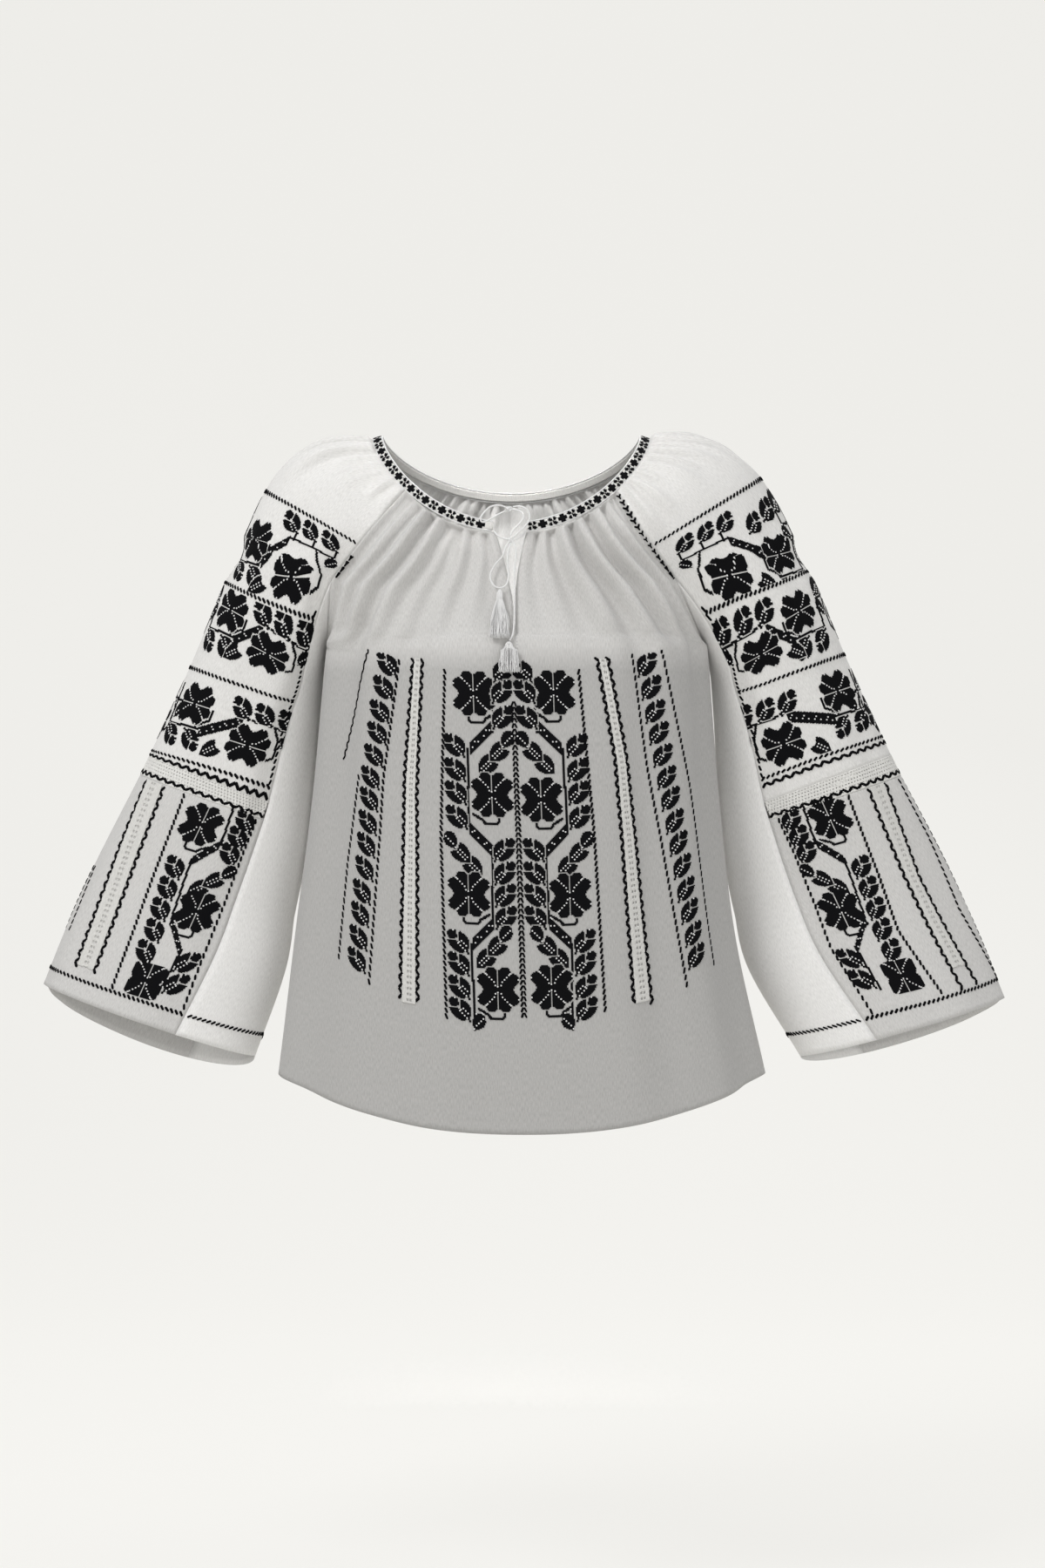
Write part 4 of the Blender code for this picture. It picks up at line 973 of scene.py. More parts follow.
# %% Sleeves
HEAD_ROWS = level_rows((-1, -0.9, 7), (-0.9, 0, 36), (0, LACE_TOP, 44))
for side in SIDES:
    mesh = sheet_mesh("sleeve_head", HEAD[side], COLUMNS["sleeve"], HEAD_ROWS)
    head = finished("sleeve_head_" + side + "_cloth", mesh, WORKED, ["sleeve_head_" + side])
    declare_sheet(head, 0.36, 0.42, "gathered", "neck_band")
    mesh = sheet_mesh("sleeve_lower", HEAD[side], COLUMNS["sleeve"], np.linspace(LACE_BOTTOM, CUFF, 50))
    lower = finished("sleeve_lower_" + side + "_cloth", mesh, SLEEVE_GAUZE,
                     ["sleeve_lower_" + side])
    declare_sheet(lower, 0.40, 0.26, "hung", "sleeve_lace_" + side)
    mesh = sheet_mesh("sleeve_gore", GORE[side], COLUMNS["gore"], np.linspace(0, CUFF, 100))
    # The gore takes the paler copy of the gauze: painted light on its shaded side.
    gore = finished("sleeve_gore_" + side + "_cloth", mesh, SHADE_LIFTED_GAUZE, ["sleeve_gore_" + side])
    declare_sheet(gore, 0.22, 0.50, "hung", "sleeve_head_" + side, area=0.088)
# %% [markdown]
# ## Charts
# Counted embroidery is planned on squared paper: one filled square is one cross stitch over two
# threads. These small charts give the repeats of the blouse: a quarter of the flower, a bud with its
# leaves, a pair of leaves and a bud. A flower is the same in all four quarters, so one is enough.

# %% The charts
FLOWER_QUARTER = """
.........######...
........########..
........#########.
.......##########.
.......##########.
....##..#########.
..######o########.
.################.
##########o######.
#################.
.###########o####.
#################.
##############o##.
.################.
..###############.
...############o#.
....#############.
....##############
.....#############
"""
LEAF_BUD = """
..###.##...........
.#######...#.......
########..###......
########..#####....
#########.######...
.########.#######..
.########.########.
..#####...########.
..........#########
########..##o######
.#########.########
.########o####o####
..#################
..#########o####o##
...################
....#########o#####
.....#############.
......#########o##.
........#######.##.
..........####...##
.................##
"""
LEAF = """
.......##........
.....####........
....######.......
...#######.......
..########.......
..#########......
.#######o##......
.#########.......
######o##........
########.........
####o##..........
######...........
##o##............
####.............
###..............
##...............
#................
"""
BUD = """
....#####...
..########..
..#########.
.##########.
.########o#.
###########.
#######o####
############
#####o#####.
###########.
###o######..
.#########..
.#######....
..####......
.##.........
"""


def chart(text):
    return np.array([[square == "#" for square in row] for row in text.split()])


def paired(leaf):
    """A leaf and its mirror image across the slanting stalk."""
    return leaf | leaf[::-1, ::-1].T


quarter = chart(FLOWER_QUARTER)
half_flower = np.concatenate([quarter, quarter[::-1]])
other_half = half_flower[:, ::-1].copy()
other_half[:, 0] = other_half[:, 1]
STANDING = np.concatenate([half_flower, other_half], axis=1)
LYING = np.rot90(STANDING)
MOTIFS = {"bud": chart(LEAF_BUD), "pair": paired(chart(LEAF)), "tip": chart(BUD)}
print("one flower:", STANDING.shape, "with", int(STANDING.sum()), "crosses")

# %% [markdown]
# The working is drawn on a canvas of squares. A motif may be turned to face the other way, stems are
# stepped lines two squares wide, and a bar is a slanting ribbon with open squares along it.

# %% Drawing on a canvas
STEM_WIDE = 2
BAR_DOTS = {2: 1, 4: -2, 7: 1}   # open squares of a bar: how far off its middle, by column in each ten


class Canvas:
    """Squares of a worked area; x counts right from the patch's middle line, y down from its top."""

    def __init__(self, left, right, tall):
        self.left = left
        self.squares = np.zeros((tall, right - left), bool)

    def stamp(self, motif, x, y, mirror=False, turn=0, clear=0):
        """Work a motif with its middle at x, y; clear leaves so many empty squares round it."""
        made = np.rot90(motif, turn)
        made = made[:, ::-1] if mirror else made
        made = np.pad(made, clear)
        room = made.copy()
        for _ in range(clear):
            room[1:] |= room[:-1]
            room[:-1] |= room[1:]
            room[:, 1:] |= room[:, :-1]
            room[:, :-1] |= room[:, 1:]
        top = math.floor(y - made.shape[0] / 2 + 0.5)
        start = math.floor(x - self.left - made.shape[1] / 2 + 0.5)
        high, low = max(top, 0), min(top + made.shape[0], self.squares.shape[0])
        near, far = max(start, 0), min(start + made.shape[1], self.squares.shape[1])
        if high < low and near < far:
            part = slice(high - top, low - top), slice(near - start, far - start)
            here = self.squares[high:low, near:far]
            here &= ~room[part] | made[part] if clear else True
            here |= made[part]

    def line(self, points):
        """Work a stepped line through points."""
        dab = np.ones((STEM_WIDE, STEM_WIDE), bool)
        for (x0, y0), (x1, y1) in zip(points, points[1:]):
            steps = int(max(abs(x1 - x0), abs(y1 - y0))) + 1
            for t in np.linspace(0, 1, steps + 1):
                self.stamp(dab, x0 + (x1 - x0) * t, y0 + (y1 - y0) * t)

    def bar(self, x, y, run, rise, thick=11):
        """Work a slanting dotted bar from x, y, run squares across and rise squares up."""
        count = abs(run)
        for k in range(count + 1):
            column = round(x - self.left) + (k if run > 0 else -k)
            row = round(y - rise * k / count)
            if 0 <= column < self.squares.shape[1]:
                self.squares[max(row - thick // 2, 0):max(row + (thick + 1) // 2, 0), column] = True
                dot = BAR_DOTS.get(k % 10)
                if dot is not None and 0 <= row + dot < len(self.squares):
                    self.squares[row + dot, column] = False

    def spray(self, x, y, side):
        """Work a spray of a bud over two pairs of leaves, its bud at x, y; side -1 leans right to left."""
        mirror = side < 0
        self.stamp(MOTIFS["pair"], x - 17 * side, y + 20, mirror)
        self.stamp(MOTIFS["pair"], x - 7 * side, y + 9.5, mirror, clear=1)
        self.stamp(MOTIFS["tip"], x + side, y - 1, mirror, clear=1)

    def hook(self, x, y, side):
        """Work the stalk that runs from a standing flower's foot round to the stem."""
        self.line([(x - 5 * side, y + 19), (x - 5 * side, y + 23), (x - 3 * side, y + 25),
                   (x + 7 * side, y + 25), (x + 9 * side, y + 22), (x + 17 * side, y + 17)])

    def buds(self, places, mirror, clear=1):
        """Work a leafed bud at each place."""
        for x, y in places:
            self.stamp(MOTIFS["bud"], x, y, mirror, clear=clear)


print("open squares of a bar:", BAR_DOTS)

# %% [markdown]
# ### The front
# Two vines climb beside the middle seam, each the mirror of the other. The stem sways from side to
# side through dotted bars. Flowers sit in its bends, buds line its outer side, and sprays cross to it.

# %% The vines of the front
FRONT_FLOWERS = {-1: [(-34, 36), (-21, 123), (-44, 209), (-21, 290)],
                 1: [(-35, 35), (-21, 127), (-43, 210), (-25, 288)]}
front_work = Canvas(-230, 230, 330)


def front_vine(work, side, flowers):
    """One vine of the front; side -1 is the left one, and 1 its mirror."""
    m = -side
    flip = side > 0

    def at(x):
        return x * m

    work.bar(at(-39), 83, 20 * m, 20)
    work.bar(at(-42), 152, 19 * m, -19)
    work.bar(at(-42), 251, 18 * m, 18)
    work.line([(at(-41), 84), (at(-42), 150)])
    work.line([(at(-23), 171), (at(-24), 233)])
    work.line([(at(-43), 252), (at(-42), 314)])
    work.line([(at(-13), 15), (at(-18), 47), (at(-19), 69)])
    work.buds([(at(-53), y) for y in (143, 122, 102, 81)], flip)
    work.buds([(at(-12.5), y) for y in (228, 209, 190, 170)], not flip)
    work.buds([(at(-54.5), y) for y in (308, 289, 269, 250)], flip)
    work.spray(at(-7), 76, m)
    work.spray(at(-58), 164, -m)
    work.spray(at(-14), 243, m)
    for (x, y), towards in zip(flowers, (1, -1, 1, -1)):
        work.hook(at(x), y, towards * m)
        work.stamp(STANDING, at(x), y, clear=1)
    work.buds([(at(x), y) for x, y in ((-7.5, 16), (-9.5, 34), (-10, 56))], not flip)
    work.stamp(MOTIFS["tip"], at(-38), 318, flip)


for side, flowers in FRONT_FLOWERS.items():
    front_vine(front_work, side, flowers)
print("crosses in the front vines:", int(front_work.squares.sum()))

# %% [markdown]
# Further out on each side a single column of buds runs down, drifting outwards with the cloth.

# %% The bud columns of the front
SQUARE = 0.00111                 # metres of one cross
COLUMN_LEFT = [(-10, -126), (-128, -148), (-303, -166), (-331, -168)]
COLUMN_RIGHT = [(-3, 133), (-117, 150), (-309, 177), (-340, 180)]
BUD_STEP = 20.6                  # squares from one bud of a column to the next


def along_line(table, y):
    """x in millimetres of a drifting line, given as (y, x) from top to bottom, at y."""
    rows = [row for row, _ in table]
    return float(np.interp(-y, [-row for row in rows], [x for _, x in table]))


for table, flip in ((COLUMN_LEFT, False), (COLUMN_RIGHT, True)):
    for k in range(13, -1, -1):
        y = 14 + BUD_STEP * k
        x = along_line(table, -y * SQUARE * 1000) / (SQUARE * 1000)
        front_work.buds([(x, y)], flip)
print("with the bud columns:", int(front_work.squares.sum()))

# %% [markdown]
# ### The altita
# The shoulder panel carries three bands. In each the same vine lies on its side: a flower low near the
# front seam, one high towards the crown of the shoulder, buds standing on the stem and hanging from
# it. The bands go on round the back of the sleeve in the same step.

# %% The vines of the altita
Band = namedtuple("Band", "low high stem rise")
BANDS = {
    "altita_left": [Band((-34, 73), (14, 48), 38, 17), Band((-36, 136), (14, 116), 115, 10),
                    Band((-51, 226), (11, 204), 204, 10)],
    "altita_right": [Band((-42, 78), (16, 70), 44, 18), Band((-44, 144), (5, 126), 122, 11),
                     Band((-56, 233), (12, 204), 209, 11)],
}
BAND_TOPS = [8, 96, 175, 255]
STEP_ROUND = 112                 # squares from one low flower to the next
ALTITA_CANVAS = (-92, 206, 262)


def altita_vine(work, band, shift):
    """One step of a band's vine: a low flower under a stem of buds, a bar, a high flower over others."""
    x, y = band.low[0] + shift, band.low[1]
    high_x, high_y = band.high[0] + shift, band.high[1]
    stem, foot = band.stem, high_y + 21
    run, fall = max(high_x - x - 28, 16), min(foot - stem, 25)
    bar_end = x + 12 + run
    work.line([(bar_end, stem + fall - 1), (max(bar_end, high_x - 12), foot), (high_x + 24, foot + 1)])
    work.line([(high_x + 24, foot), (high_x + 28, high_y - 14)])
    work.line([(high_x - 21, high_y + 2), (high_x - 21, high_y + 11), (high_x - 10, high_y + 19)])
    for k in (-10, 14):
        work.stamp(MOTIFS["bud"], high_x + k, foot + 11, turn=1, clear=1)
    work.stamp(MOTIFS["pair"], x + 29, y + 12, turn=1, clear=1)
    work.line([(x - 34, stem + 1), (x - 10, stem), (x + 12, stem - 1)])
    work.line([(x - 18, stem + 1), (x - 25, y - 11), (x - 26, y + 5), (x - 20, y + 9)])
    work.bar(x + 12, stem + 2, run, -fall)
    crowded = shift and band.low[0] + STEP_ROUND - 51 < band.high[0]
    if band.low[1] - band.high[1] < 10:
        for k, up in ((-15, 33), (8, 40)):
            work.stamp(MOTIFS["bud"], high_x + k, high_y - up, turn=-1, clear=1)
    for k in (-5, 16) if crowded else (-27, -5, 16):
        work.stamp(MOTIFS["bud"], x + k, stem - band.rise, turn=-1, clear=1)
        work.line([(x + k - 8, stem - band.rise + 9), (x + k - 8, stem)])
    work.stamp(MOTIFS["tip"], x - 34, stem + 9, mirror=True)
    work.stamp(LYING, x, y, clear=1)
    work.stamp(LYING, high_x, high_y, clear=1)


altita_work = {}
for name, bands in BANDS.items():
    work = Canvas(*ALTITA_CANVAS)
    for band, top, floor in zip(bands, BAND_TOPS, BAND_TOPS[1:]):
        strip = Canvas(*ALTITA_CANVAS)
        for k in range(3):
            altita_vine(strip, band, STEP_ROUND * k)
        work.squares[top + 3:floor - 2] |= strip.squares[top + 3:floor - 2]
    altita_work[name] = work
    print(name, "crosses:", int(work.squares.sum()))

# %% [markdown]
# ### The lower sleeve
# Below the openwork ring one vine hangs down the front of the sleeve, and its mirror down the back.

# %% The vines of the lower sleeve
LOWER_FLOWERS = {"lower_left": [(-25, 40), (-55, 118), (-39, 188)],
                 "lower_right": [(-27, 33), (-54, 119), (-30, 189)]}
LOWER_MIRROR = 66                # squares from the front vine's line to the middle of the sleeve


def lower_vine(work, flowers, base, m):
    """The vine of a lower sleeve, drawn out from base squares by m, 1 or -1."""
    def at(x):
        return base + x * m

    flip = m < 0
    (ax, ay), (bx, by), (cx, cy) = flowers
    work.stamp(STANDING, at(ax), ay)
    work.hook(at(ax), ay, -m)
    work.line([(at(-45), 14), (at(-49), 52)])
    work.bar(at(-49), 52, 17 * m, -22)
    work.line([(at(-31), 73), (at(-37), 130)])
    work.stamp(STANDING, at(bx), by)
    work.hook(at(bx), by, m)
    work.bar(at(-38), 131, -18 * m, -24, 7)
    work.line([(at(-57), 155), (at(-54), 196)])
    work.stamp(STANDING[4:-4, 3:-3], at(cx), cy)
    work.buds([(at(-59.5), y) for y in (24, 41, 58)], not flip, clear=0)
    inner = ((-20, 84), (-22, 104), (-24, 124), (-27, 144), (-28, 164))
    work.buds([(at(x), y) for x, y in inner], not flip, clear=0)
    work.spray(at(-66), 76, -m)
    work.buds([(at(-67), 164), (at(-66), 184)], flip, clear=0)


lower_work = {}
for name, flowers in LOWER_FLOWERS.items():
    work = Canvas(-92, 240, 206)
    lower_vine(work, flowers, 0, 1)
    lower_vine(work, flowers, 2 * LOWER_MIRROR, -1)
    lower_work[name] = work
    print(name, "crosses:", int(work.squares.sum()))

# %% [markdown]
# ## From squares to stitches
# A grid of faces is made, the empty squares are taken out, and what is left is wrapped onto the cloth
# and given the thickness of the thread. The material draws the two arms of each cross.

# %% Thread materials
def cross_material(name, colour, shine):
    """Cotton thread in crosses: one to each unit of the stitch coordinates."""
    made, tree, shader = new_material(name, colour, 0.62)
    place = node(tree, "ShaderNodeUVMap", uv_map="UVMap")
    arms = crossed_waves(tree, place, (math.pi / 4, -math.pi / 4), Scale=math.pi / 10 * math.sqrt(2))
    bumped(tree, shader, arms, "Value", 0.7, 0.0003)
    fuzz = node(tree, "ShaderNodeTexNoise", Scale=3.0, Detail=2.0)
    link(tree, place, "UV", fuzz, "Vector")
    low = tuple(c * 0.6 for c in colour)
    high = tuple(min(c * 1.9 + 0.004, 1.0) for c in colour)
    shade = mixed_colour(tree, fuzz, "Fac", low, high)
    link(tree, shade, "Color", shader, "Base Color")
    roughened(tree, shader, fuzz, 0.5, 0.8)
    shader.inputs["Specular IOR Level"].default_value = shine
    return made


BLACK = cross_material("black cotton crosses", (0.0022, 0.0022, 0.0028), 0.03)
STITCH_LIFT = 0.0007             # top of the stitches above the middle of the cloth
STITCH_THICK = 0.0005
print("thread of the crosses:", BLACK.name)

# %% Crosses on the cloth
def worked_mesh(name, canvas, patch, square=SQUARE, lift=STITCH_LIFT):
    """The filled squares of a canvas as faces on the cloth."""
    tall, wide = canvas.squares.shape

    def onto(spots):
        x = (spots[:, 0] + 1) / 2 * wide + canvas.left
        squares = np.stack([x, -(1 - spots[:, 1]) / 2 * tall], axis=1)
        flat = np.concatenate([squares * square, np.full((len(squares), 1), lift)], axis=1)
        return patch.wrap(flat), squares

    mesh = grid_mesh(name, wide, tall, lambda column, row: not canvas.squares[row, column])
    return draped(mesh, onto, patch.facing)


DOT = 0.00165                    # width of the white stitch in an open square


def open_squares(canvas):
    """Rows of x, y, length, width and angle for the lone open squares inside worked ones."""
    filled = np.pad(canvas.squares, 1).astype(int)
    beside = filled[:-2, 1:-1] + filled[2:, 1:-1] + filled[1:-1, :-2] + filled[1:-1, 2:]
    row, column = np.nonzero(~canvas.squares & (beside >= 3))
    x, y = (column + 0.5 + canvas.left) * SQUARE, -(row + 0.5) * SQUARE
    return np.stack([x, y, np.full(len(x), DOT), np.full(len(x), DOT), np.zeros(len(x))], axis=1)


WORKED_AREAS = {"front": front_work, **altita_work, **lower_work}
for name, canvas in WORKED_AREAS.items():
    mesh = worked_mesh("crosses_" + name, canvas, PATCHES[name])
    piece = finished("crosses_" + name, mesh, BLACK, thickness=STITCH_THICK, offset=-1.0,
                     open_under=True)
    print(piece.name, len(piece.data.polygons), "crosses")
# %% [markdown]
# ## Lines of stitches
# The borders are sewn, not counted: slanting stitches laid like the strands of a rope, running
# stitches, stitches that zigzag into a wave, and a chain of little arrowheads down the front seam.
# Each stitch is one small raised grain of thread, laid flat first and then wrapped onto the cloth.

# %% Stitches along a path
Style = namedtuple("Style", "pitch length wide slant side sway")
ROPE = Style(0.0056, 0.0062, 0.0025, 24, 0.0, 0)
TIGHT_ROPE = Style(0.0049, 0.0060, 0.0025, 40, 0.0, 0)
FLAT_ROPE = Style(0.0057, 0.0060, 0.0025, 30, 0.0, 0)
RUNNING = Style(0.0071, 0.0064, 0.0025, 17, 0.0, 0)
WAVE = Style(0.0052, 0.0072, 0.0032, 0, 0.0, 38)
FINE_WAVE = Style(0.0048, 0.0060, 0.0019, 0, 0.0, 20)
CHAIN_LEFT = Style(0.0052, 0.0058, 0.0021, 22, 0.0014, 0)
CHAIN_RIGHT = Style(0.0052, 0.0058, 0.0021, -22, -0.0014, 0)
PLUMP = 0.55                     # below 1, a grain keeps its width nearly to its ends
GRAIN_LIFT = 0.0006              # middle of a stitch above the middle of the cloth
chance = np.random.default_rng(5)


def stitches(path, style, lean=1):
    """Rows of x, y, length, width and angle for stitches along a path in millimetres."""
    path = np.asarray(path, float) / 1000
    run = run_along(path)
    spots = np.arange(style.pitch / 2, run[-1], style.pitch)
    x = np.interp(spots, run, path[:, 0])
    y = np.interp(spots, run, path[:, 1])
    ahead = np.minimum(spots + 0.002, run[-1])
    behind = np.maximum(spots - 0.002, 0)
    angle = np.arctan2(np.interp(ahead, run, path[:, 1]) - np.interp(behind, run, path[:, 1]),
                       np.interp(ahead, run, path[:, 0]) - np.interp(behind, run, path[:, 0]))
    x = x - np.sin(angle) * style.side
    y = y + np.cos(angle) * style.side
    sway = np.where(np.arange(len(spots)) % 2, -1, 1) * style.sway
    angle = angle + np.radians(style.slant * lean + sway) + chance.normal(0, 0.05, len(spots))
    length = style.length * chance.uniform(0.92, 1.06, len(spots))
    return np.stack([x, y, length, np.full(len(spots), style.wide), angle], axis=1)


def copies(name, seed, count):
    """One mesh of many copies of a small shape, and that shape's points."""
    one = bpy.data.meshes.new("one")
    seed.to_mesh(one)
    form = np.array([tuple(spot.co) for spot in seed.verts])
    seed.free()
    shape = bmesh.new()
    for _ in range(count):
        shape.from_mesh(one)
    mesh = bpy.data.meshes.new(name)
    shape.to_mesh(mesh)
    shape.free()
    bpy.data.meshes.remove(one)
    return mesh, form


def grain_mesh(name, rows, patch, high=0.0006):
    """One mesh of a raised grain for every stitch, wrapped onto a patch."""
    seed = bmesh.new()
    bmesh.ops.create_icosphere(seed, subdivisions=1, radius=1)
    mesh, form = copies(name, seed, len(rows))
    form[:, :2] = signed_power(form[:, :2], PLUMP)
    long = form[None, :, 0] * rows[:, 2, None] / 2
    wide = form[None, :, 1] * rows[:, 3, None] / 2
    turn, flat = rows[:, 4, None], np.empty((len(rows), len(form), 3))
    flat[..., 0] = rows[:, 0, None] + long * np.cos(turn) - wide * np.sin(turn)
    flat[..., 1] = rows[:, 1, None] + long * np.sin(turn) + wide * np.cos(turn)
    flat[..., 2] = GRAIN_LIFT + form[None, :, 2] * high
    flat = flat.reshape(-1, 3)
    thread = np.stack([long.ravel(), wide.ravel()], axis=1) / SQUARE
    return draped(mesh, lambda spots: (patch.wrap(flat), thread), patch.facing)


print("stitch styles ready, a rope every", ROPE.pitch * 1000, "mm")

# %% Thread for the lines, the cord and the tassels
def thread_material(name, colour):
    """Twisted cotton: fine diagonal plies along each stitch, with painted shade in their grooves and a
    painted highlight on their crests.
    """
    made, tree, shader = new_material(name, colour, 0.7)
    place = node(tree, "ShaderNodeUVMap", uv_map="UVMap")
    plies = node(tree, "ShaderNodeTexWave", bands_direction="DIAGONAL", Scale=1.2, Distortion=0.6)
    link(tree, place, "UV", plies, "Vector")
    bumped(tree, shader, plies, "Fac", 0.5, 0.0002)
    # Painted shade and highlight: the colour follows the plies' bump, darker in the grooves, lighter on the
    # crests.
    low = tuple(c * 0.7 for c in colour)
    high = tuple(min(c * 1.6, 0.86) for c in colour)
    shade = mixed_colour(tree, plies, "Fac", low, high)
    link(tree, shade, "Color", shader, "Base Color")
    roughened(tree, shader, plies, 0.6, 0.8)
    shader.inputs["Specular IOR Level"].default_value = 0.04
    return made


BLACK_THREAD = thread_material("black thread", (0.0024, 0.0024, 0.003))
WHITE_THREAD = thread_material("white thread", (0.78, 0.77, 0.75))
OPEN_HIGH = 0.0009               # half the height of the white stitch in an open square
print("threads:", BLACK_THREAD.name, WHITE_THREAD.name)

# %% [markdown]
# Straight rows run from seam to seam, and a seam line keeps an even distance from the seam. The rest
# are drawn through a few points.

# %% Paths on a patch
def row_path(patch, y, inset=2.0):
    """A path along one row of a patch, from seam to seam, at y millimetres."""
    rows = np.arange(len(patch.depth))
    row = np.interp(-y / 1000, patch.depth, rows)
    near, far = (np.interp(row, rows, patch.reach[:, k]) * 1000 for k in (0, -1))
    return [(near + inset, y), (far - inset, y)]


def seam_path(patch, inset, top, floor, far):
    """A path beside the near or far seam of a patch, between two rows, in millimetres."""
    return [row_path(patch, y, inset)[far] for y in np.linspace(top, floor, 24)]


def level_path(patch, down):
    """A path round a sleeve at so many metres down it."""
    return row_path(patch, -1000 * np.interp(down, patch.downs[:, 0], patch.depth))


def mirrored(path, middle):
    return [(2 * middle - x, y) for x, y in path]


print("row across the front's top:", [round(float(x)) for x, _ in row_path(PATCHES["front"], 0)], "mm")

# %% Where the lines run
CROWN_X = 73                     # millimetres from the middle line of a sleeve patch to its crown
CHAIN_PATH = ((0.1, -47), (-0.1, -196), (0.4, -347))
FRONT_WAVES = {
    "left": [((-99.8, -8), (-111.6, -125), (-121, -342)), ((-88.9, -8), (-98.6, -140), (-102.5, -342))],
    "right": [((81.8, -6), (95.9, -107), (106.8, -343)), ((92.3, -6), (108.3, -108), (126.5, -347))],
}
FRONT_LINES = [
    (CHAIN_PATH, CHAIN_LEFT, 1), (CHAIN_PATH, CHAIN_RIGHT, 1),
    (((-65, -17), (-74.3, -183), (-73.6, -351)), ROPE, 1),
    (((63.1, -17), (71.4, -156), (78.1, -349)), ROPE, -1),
    *[(path, WAVE, 1) for side in SIDES for path in FRONT_WAVES[side]],
    (((-113.9, -10), (-133.4, -128), (-153.3, -331)), RUNNING, 1),
    (((-161.6, -129), (-178.5, -219), (-190.7, -321)), RUNNING, 1),
    (((-144.9, -1), (-160.4, -37), (-187.6, -120)), FINE_WAVE, 1),
    (((118.7, -3), (131.1, -117), (164.7, -340)), RUNNING, -1),
    (((149.5, -1), (179.9, -147), (204, -330)), RUNNING, -1),
]
LOWER_WAVES = {
    "left": [((49.7, -21), (38.9, -117), (30.9, -216)), ((24.7, -21), (16.2, -118), (8.7, -217))],
    "right": [((18.8, -21), (14.4, -111), (16.4, -238)), ((42.3, -21), (30.5, -117), (37.6, -237))],
}
LOWER_LINES = {
    "left": [
        (((0.6, -20), (-7.3, -123), (-15.2, -224)), ROPE, -1),
        (((70.5, -115), (66.1, -150), (62.9, -189)), RUNNING, 1),
        (((-76.2, -20), (-78.5, -59), (-83.3, -116), (-85.9, -179), (-89, -227)), RUNNING, -1),
    ],
    "right": [
        (((-4, -20), (-9.4, -103), (-15.5, -165), (-4.9, -239)), ROPE, -1),
        (((62, -21), (65.3, -82), (60.8, -158), (70.7, -240)), RUNNING, 1),
        (((-78.2, -20), (-78.2, -61), (-81.6, -120), (-85.9, -169), (-78.5, -236)), RUNNING, -1),
    ],
}
ALTITA_ROPES = [(-9.1, TIGHT_ROPE), (-106.5, TIGHT_ROPE), (-194.8, TIGHT_ROPE), (-283.5, FLAT_ROPE)]
ALTITA_WAVE = -290.0             # y in millimetres of the wave above the openwork ring
ALTITA_SIDES = (-100, -286)      # y of the top and the foot of the lines beside the sleeve's seams
RING_WAVE = 0.2565               # metres down the sleeve of the wave on the ring's lower edge
CUFF_ROPE = 0.470                # metres down the sleeve of the rope round the cuff
print("lines of the front:", len(FRONT_LINES))

# %% Sewing the lines
def lined(name, lines, patch):
    rows = np.concatenate([stitches(path, style, lean) for path, style, lean in lines])
    mesh = grain_mesh("lines_" + name, rows, patch)
    piece = finished("lines_" + name, mesh, BLACK_THREAD, thickness=0)
    print(piece.name, len(rows), "stitches")


for name, canvas in WORKED_AREAS.items():
    rows = open_squares(canvas)
    mesh = grain_mesh("open_" + name, rows, PATCHES[name], OPEN_HIGH)
    finished("open_" + name, mesh, WHITE_THREAD, thickness=0)
    print("open squares of", name, len(rows))
lined("front", FRONT_LINES, PATCHES["front"])
for side, sign in SIDES.items():
    patch = PATCHES["altita_" + side]
    lines = [(row_path(patch, y), style, 1) for y, style in ALTITA_ROPES]
    lines.append((row_path(patch, ALTITA_WAVE), WAVE, 1))
    lines += [(seam_path(patch, 4.0, *ALTITA_SIDES, far), RUNNING, 1) for far in (False, True)]
    lined("altita_" + side, lines, patch)
    patch = PATCHES["lower_" + side]
    lines = [(path, WAVE, 1) for path in LOWER_WAVES[side]] + LOWER_LINES[side]
    lines += [(mirrored(path, CROWN_X), style, -lean) for path, style, lean in lines]
    lines += [(level_path(patch, RING_WAVE), WAVE, 1), (level_path(patch, CUFF_ROPE), TIGHT_ROPE, 1)]
    lined("lower_" + side, lines, patch)
    patch = Patch(GORE[side], -sign, straight_rungs((0.42, 0.45, CUFF)), [0.0])
    lined("gore_" + side, [(level_path(patch, CUFF_ROPE), TIGHT_ROPE, 1)], patch)

# %% [markdown]
# ## Openwork
# The ring between the two parts of each sleeve, and the strips beside the embroidery, are drawn-thread
# work: threads are pulled out and the rest are whipped together, which leaves rows of small holes.

# %% Openwork
HOLE = 0.0011                    # metres of one square of openwork
RIPPLE = 0.00025                 # how far the whipped threads stand up and sink
RIPPLE_DOWN, RIPPLE_ACROSS = 0.0052, 0.0047
LACE_THICK = 0.0007


def openwork(name, patch, left, right, tall, top, holes, nodes, lift, cotton):
    """A holed strip on a patch: left(y) and right(y) are its edges in metres, top and tall its rows."""
    wide = round(max(right(y) - left(y) for y in (top, top + tall)) / HOLE)

    def onto(spots):
        y = top + (1 - spots[:, 1]) / 2 * tall
        share = (spots[:, 0] + 1) / 2
        x = left(y) * (1 - share) + right(y) * share
        waves = np.cos(2 * math.pi * y / RIPPLE_DOWN), np.cos(2 * math.pi * x / RIPPLE_ACROSS)
        return patch.wrap(point(x, -y, lift + RIPPLE * waves[0] * waves[1])), np.stack([x, -y], axis=1)

    mesh = grid_mesh(name, wide, round(tall / HOLE), lambda column, row: holes(column, row, wide))
    piece = finished(name, draped(mesh, onto, patch.facing), cotton, nodes, thickness=LACE_THICK)
    print(piece.name, len(mesh.polygons), "squares of cloth")
    return piece


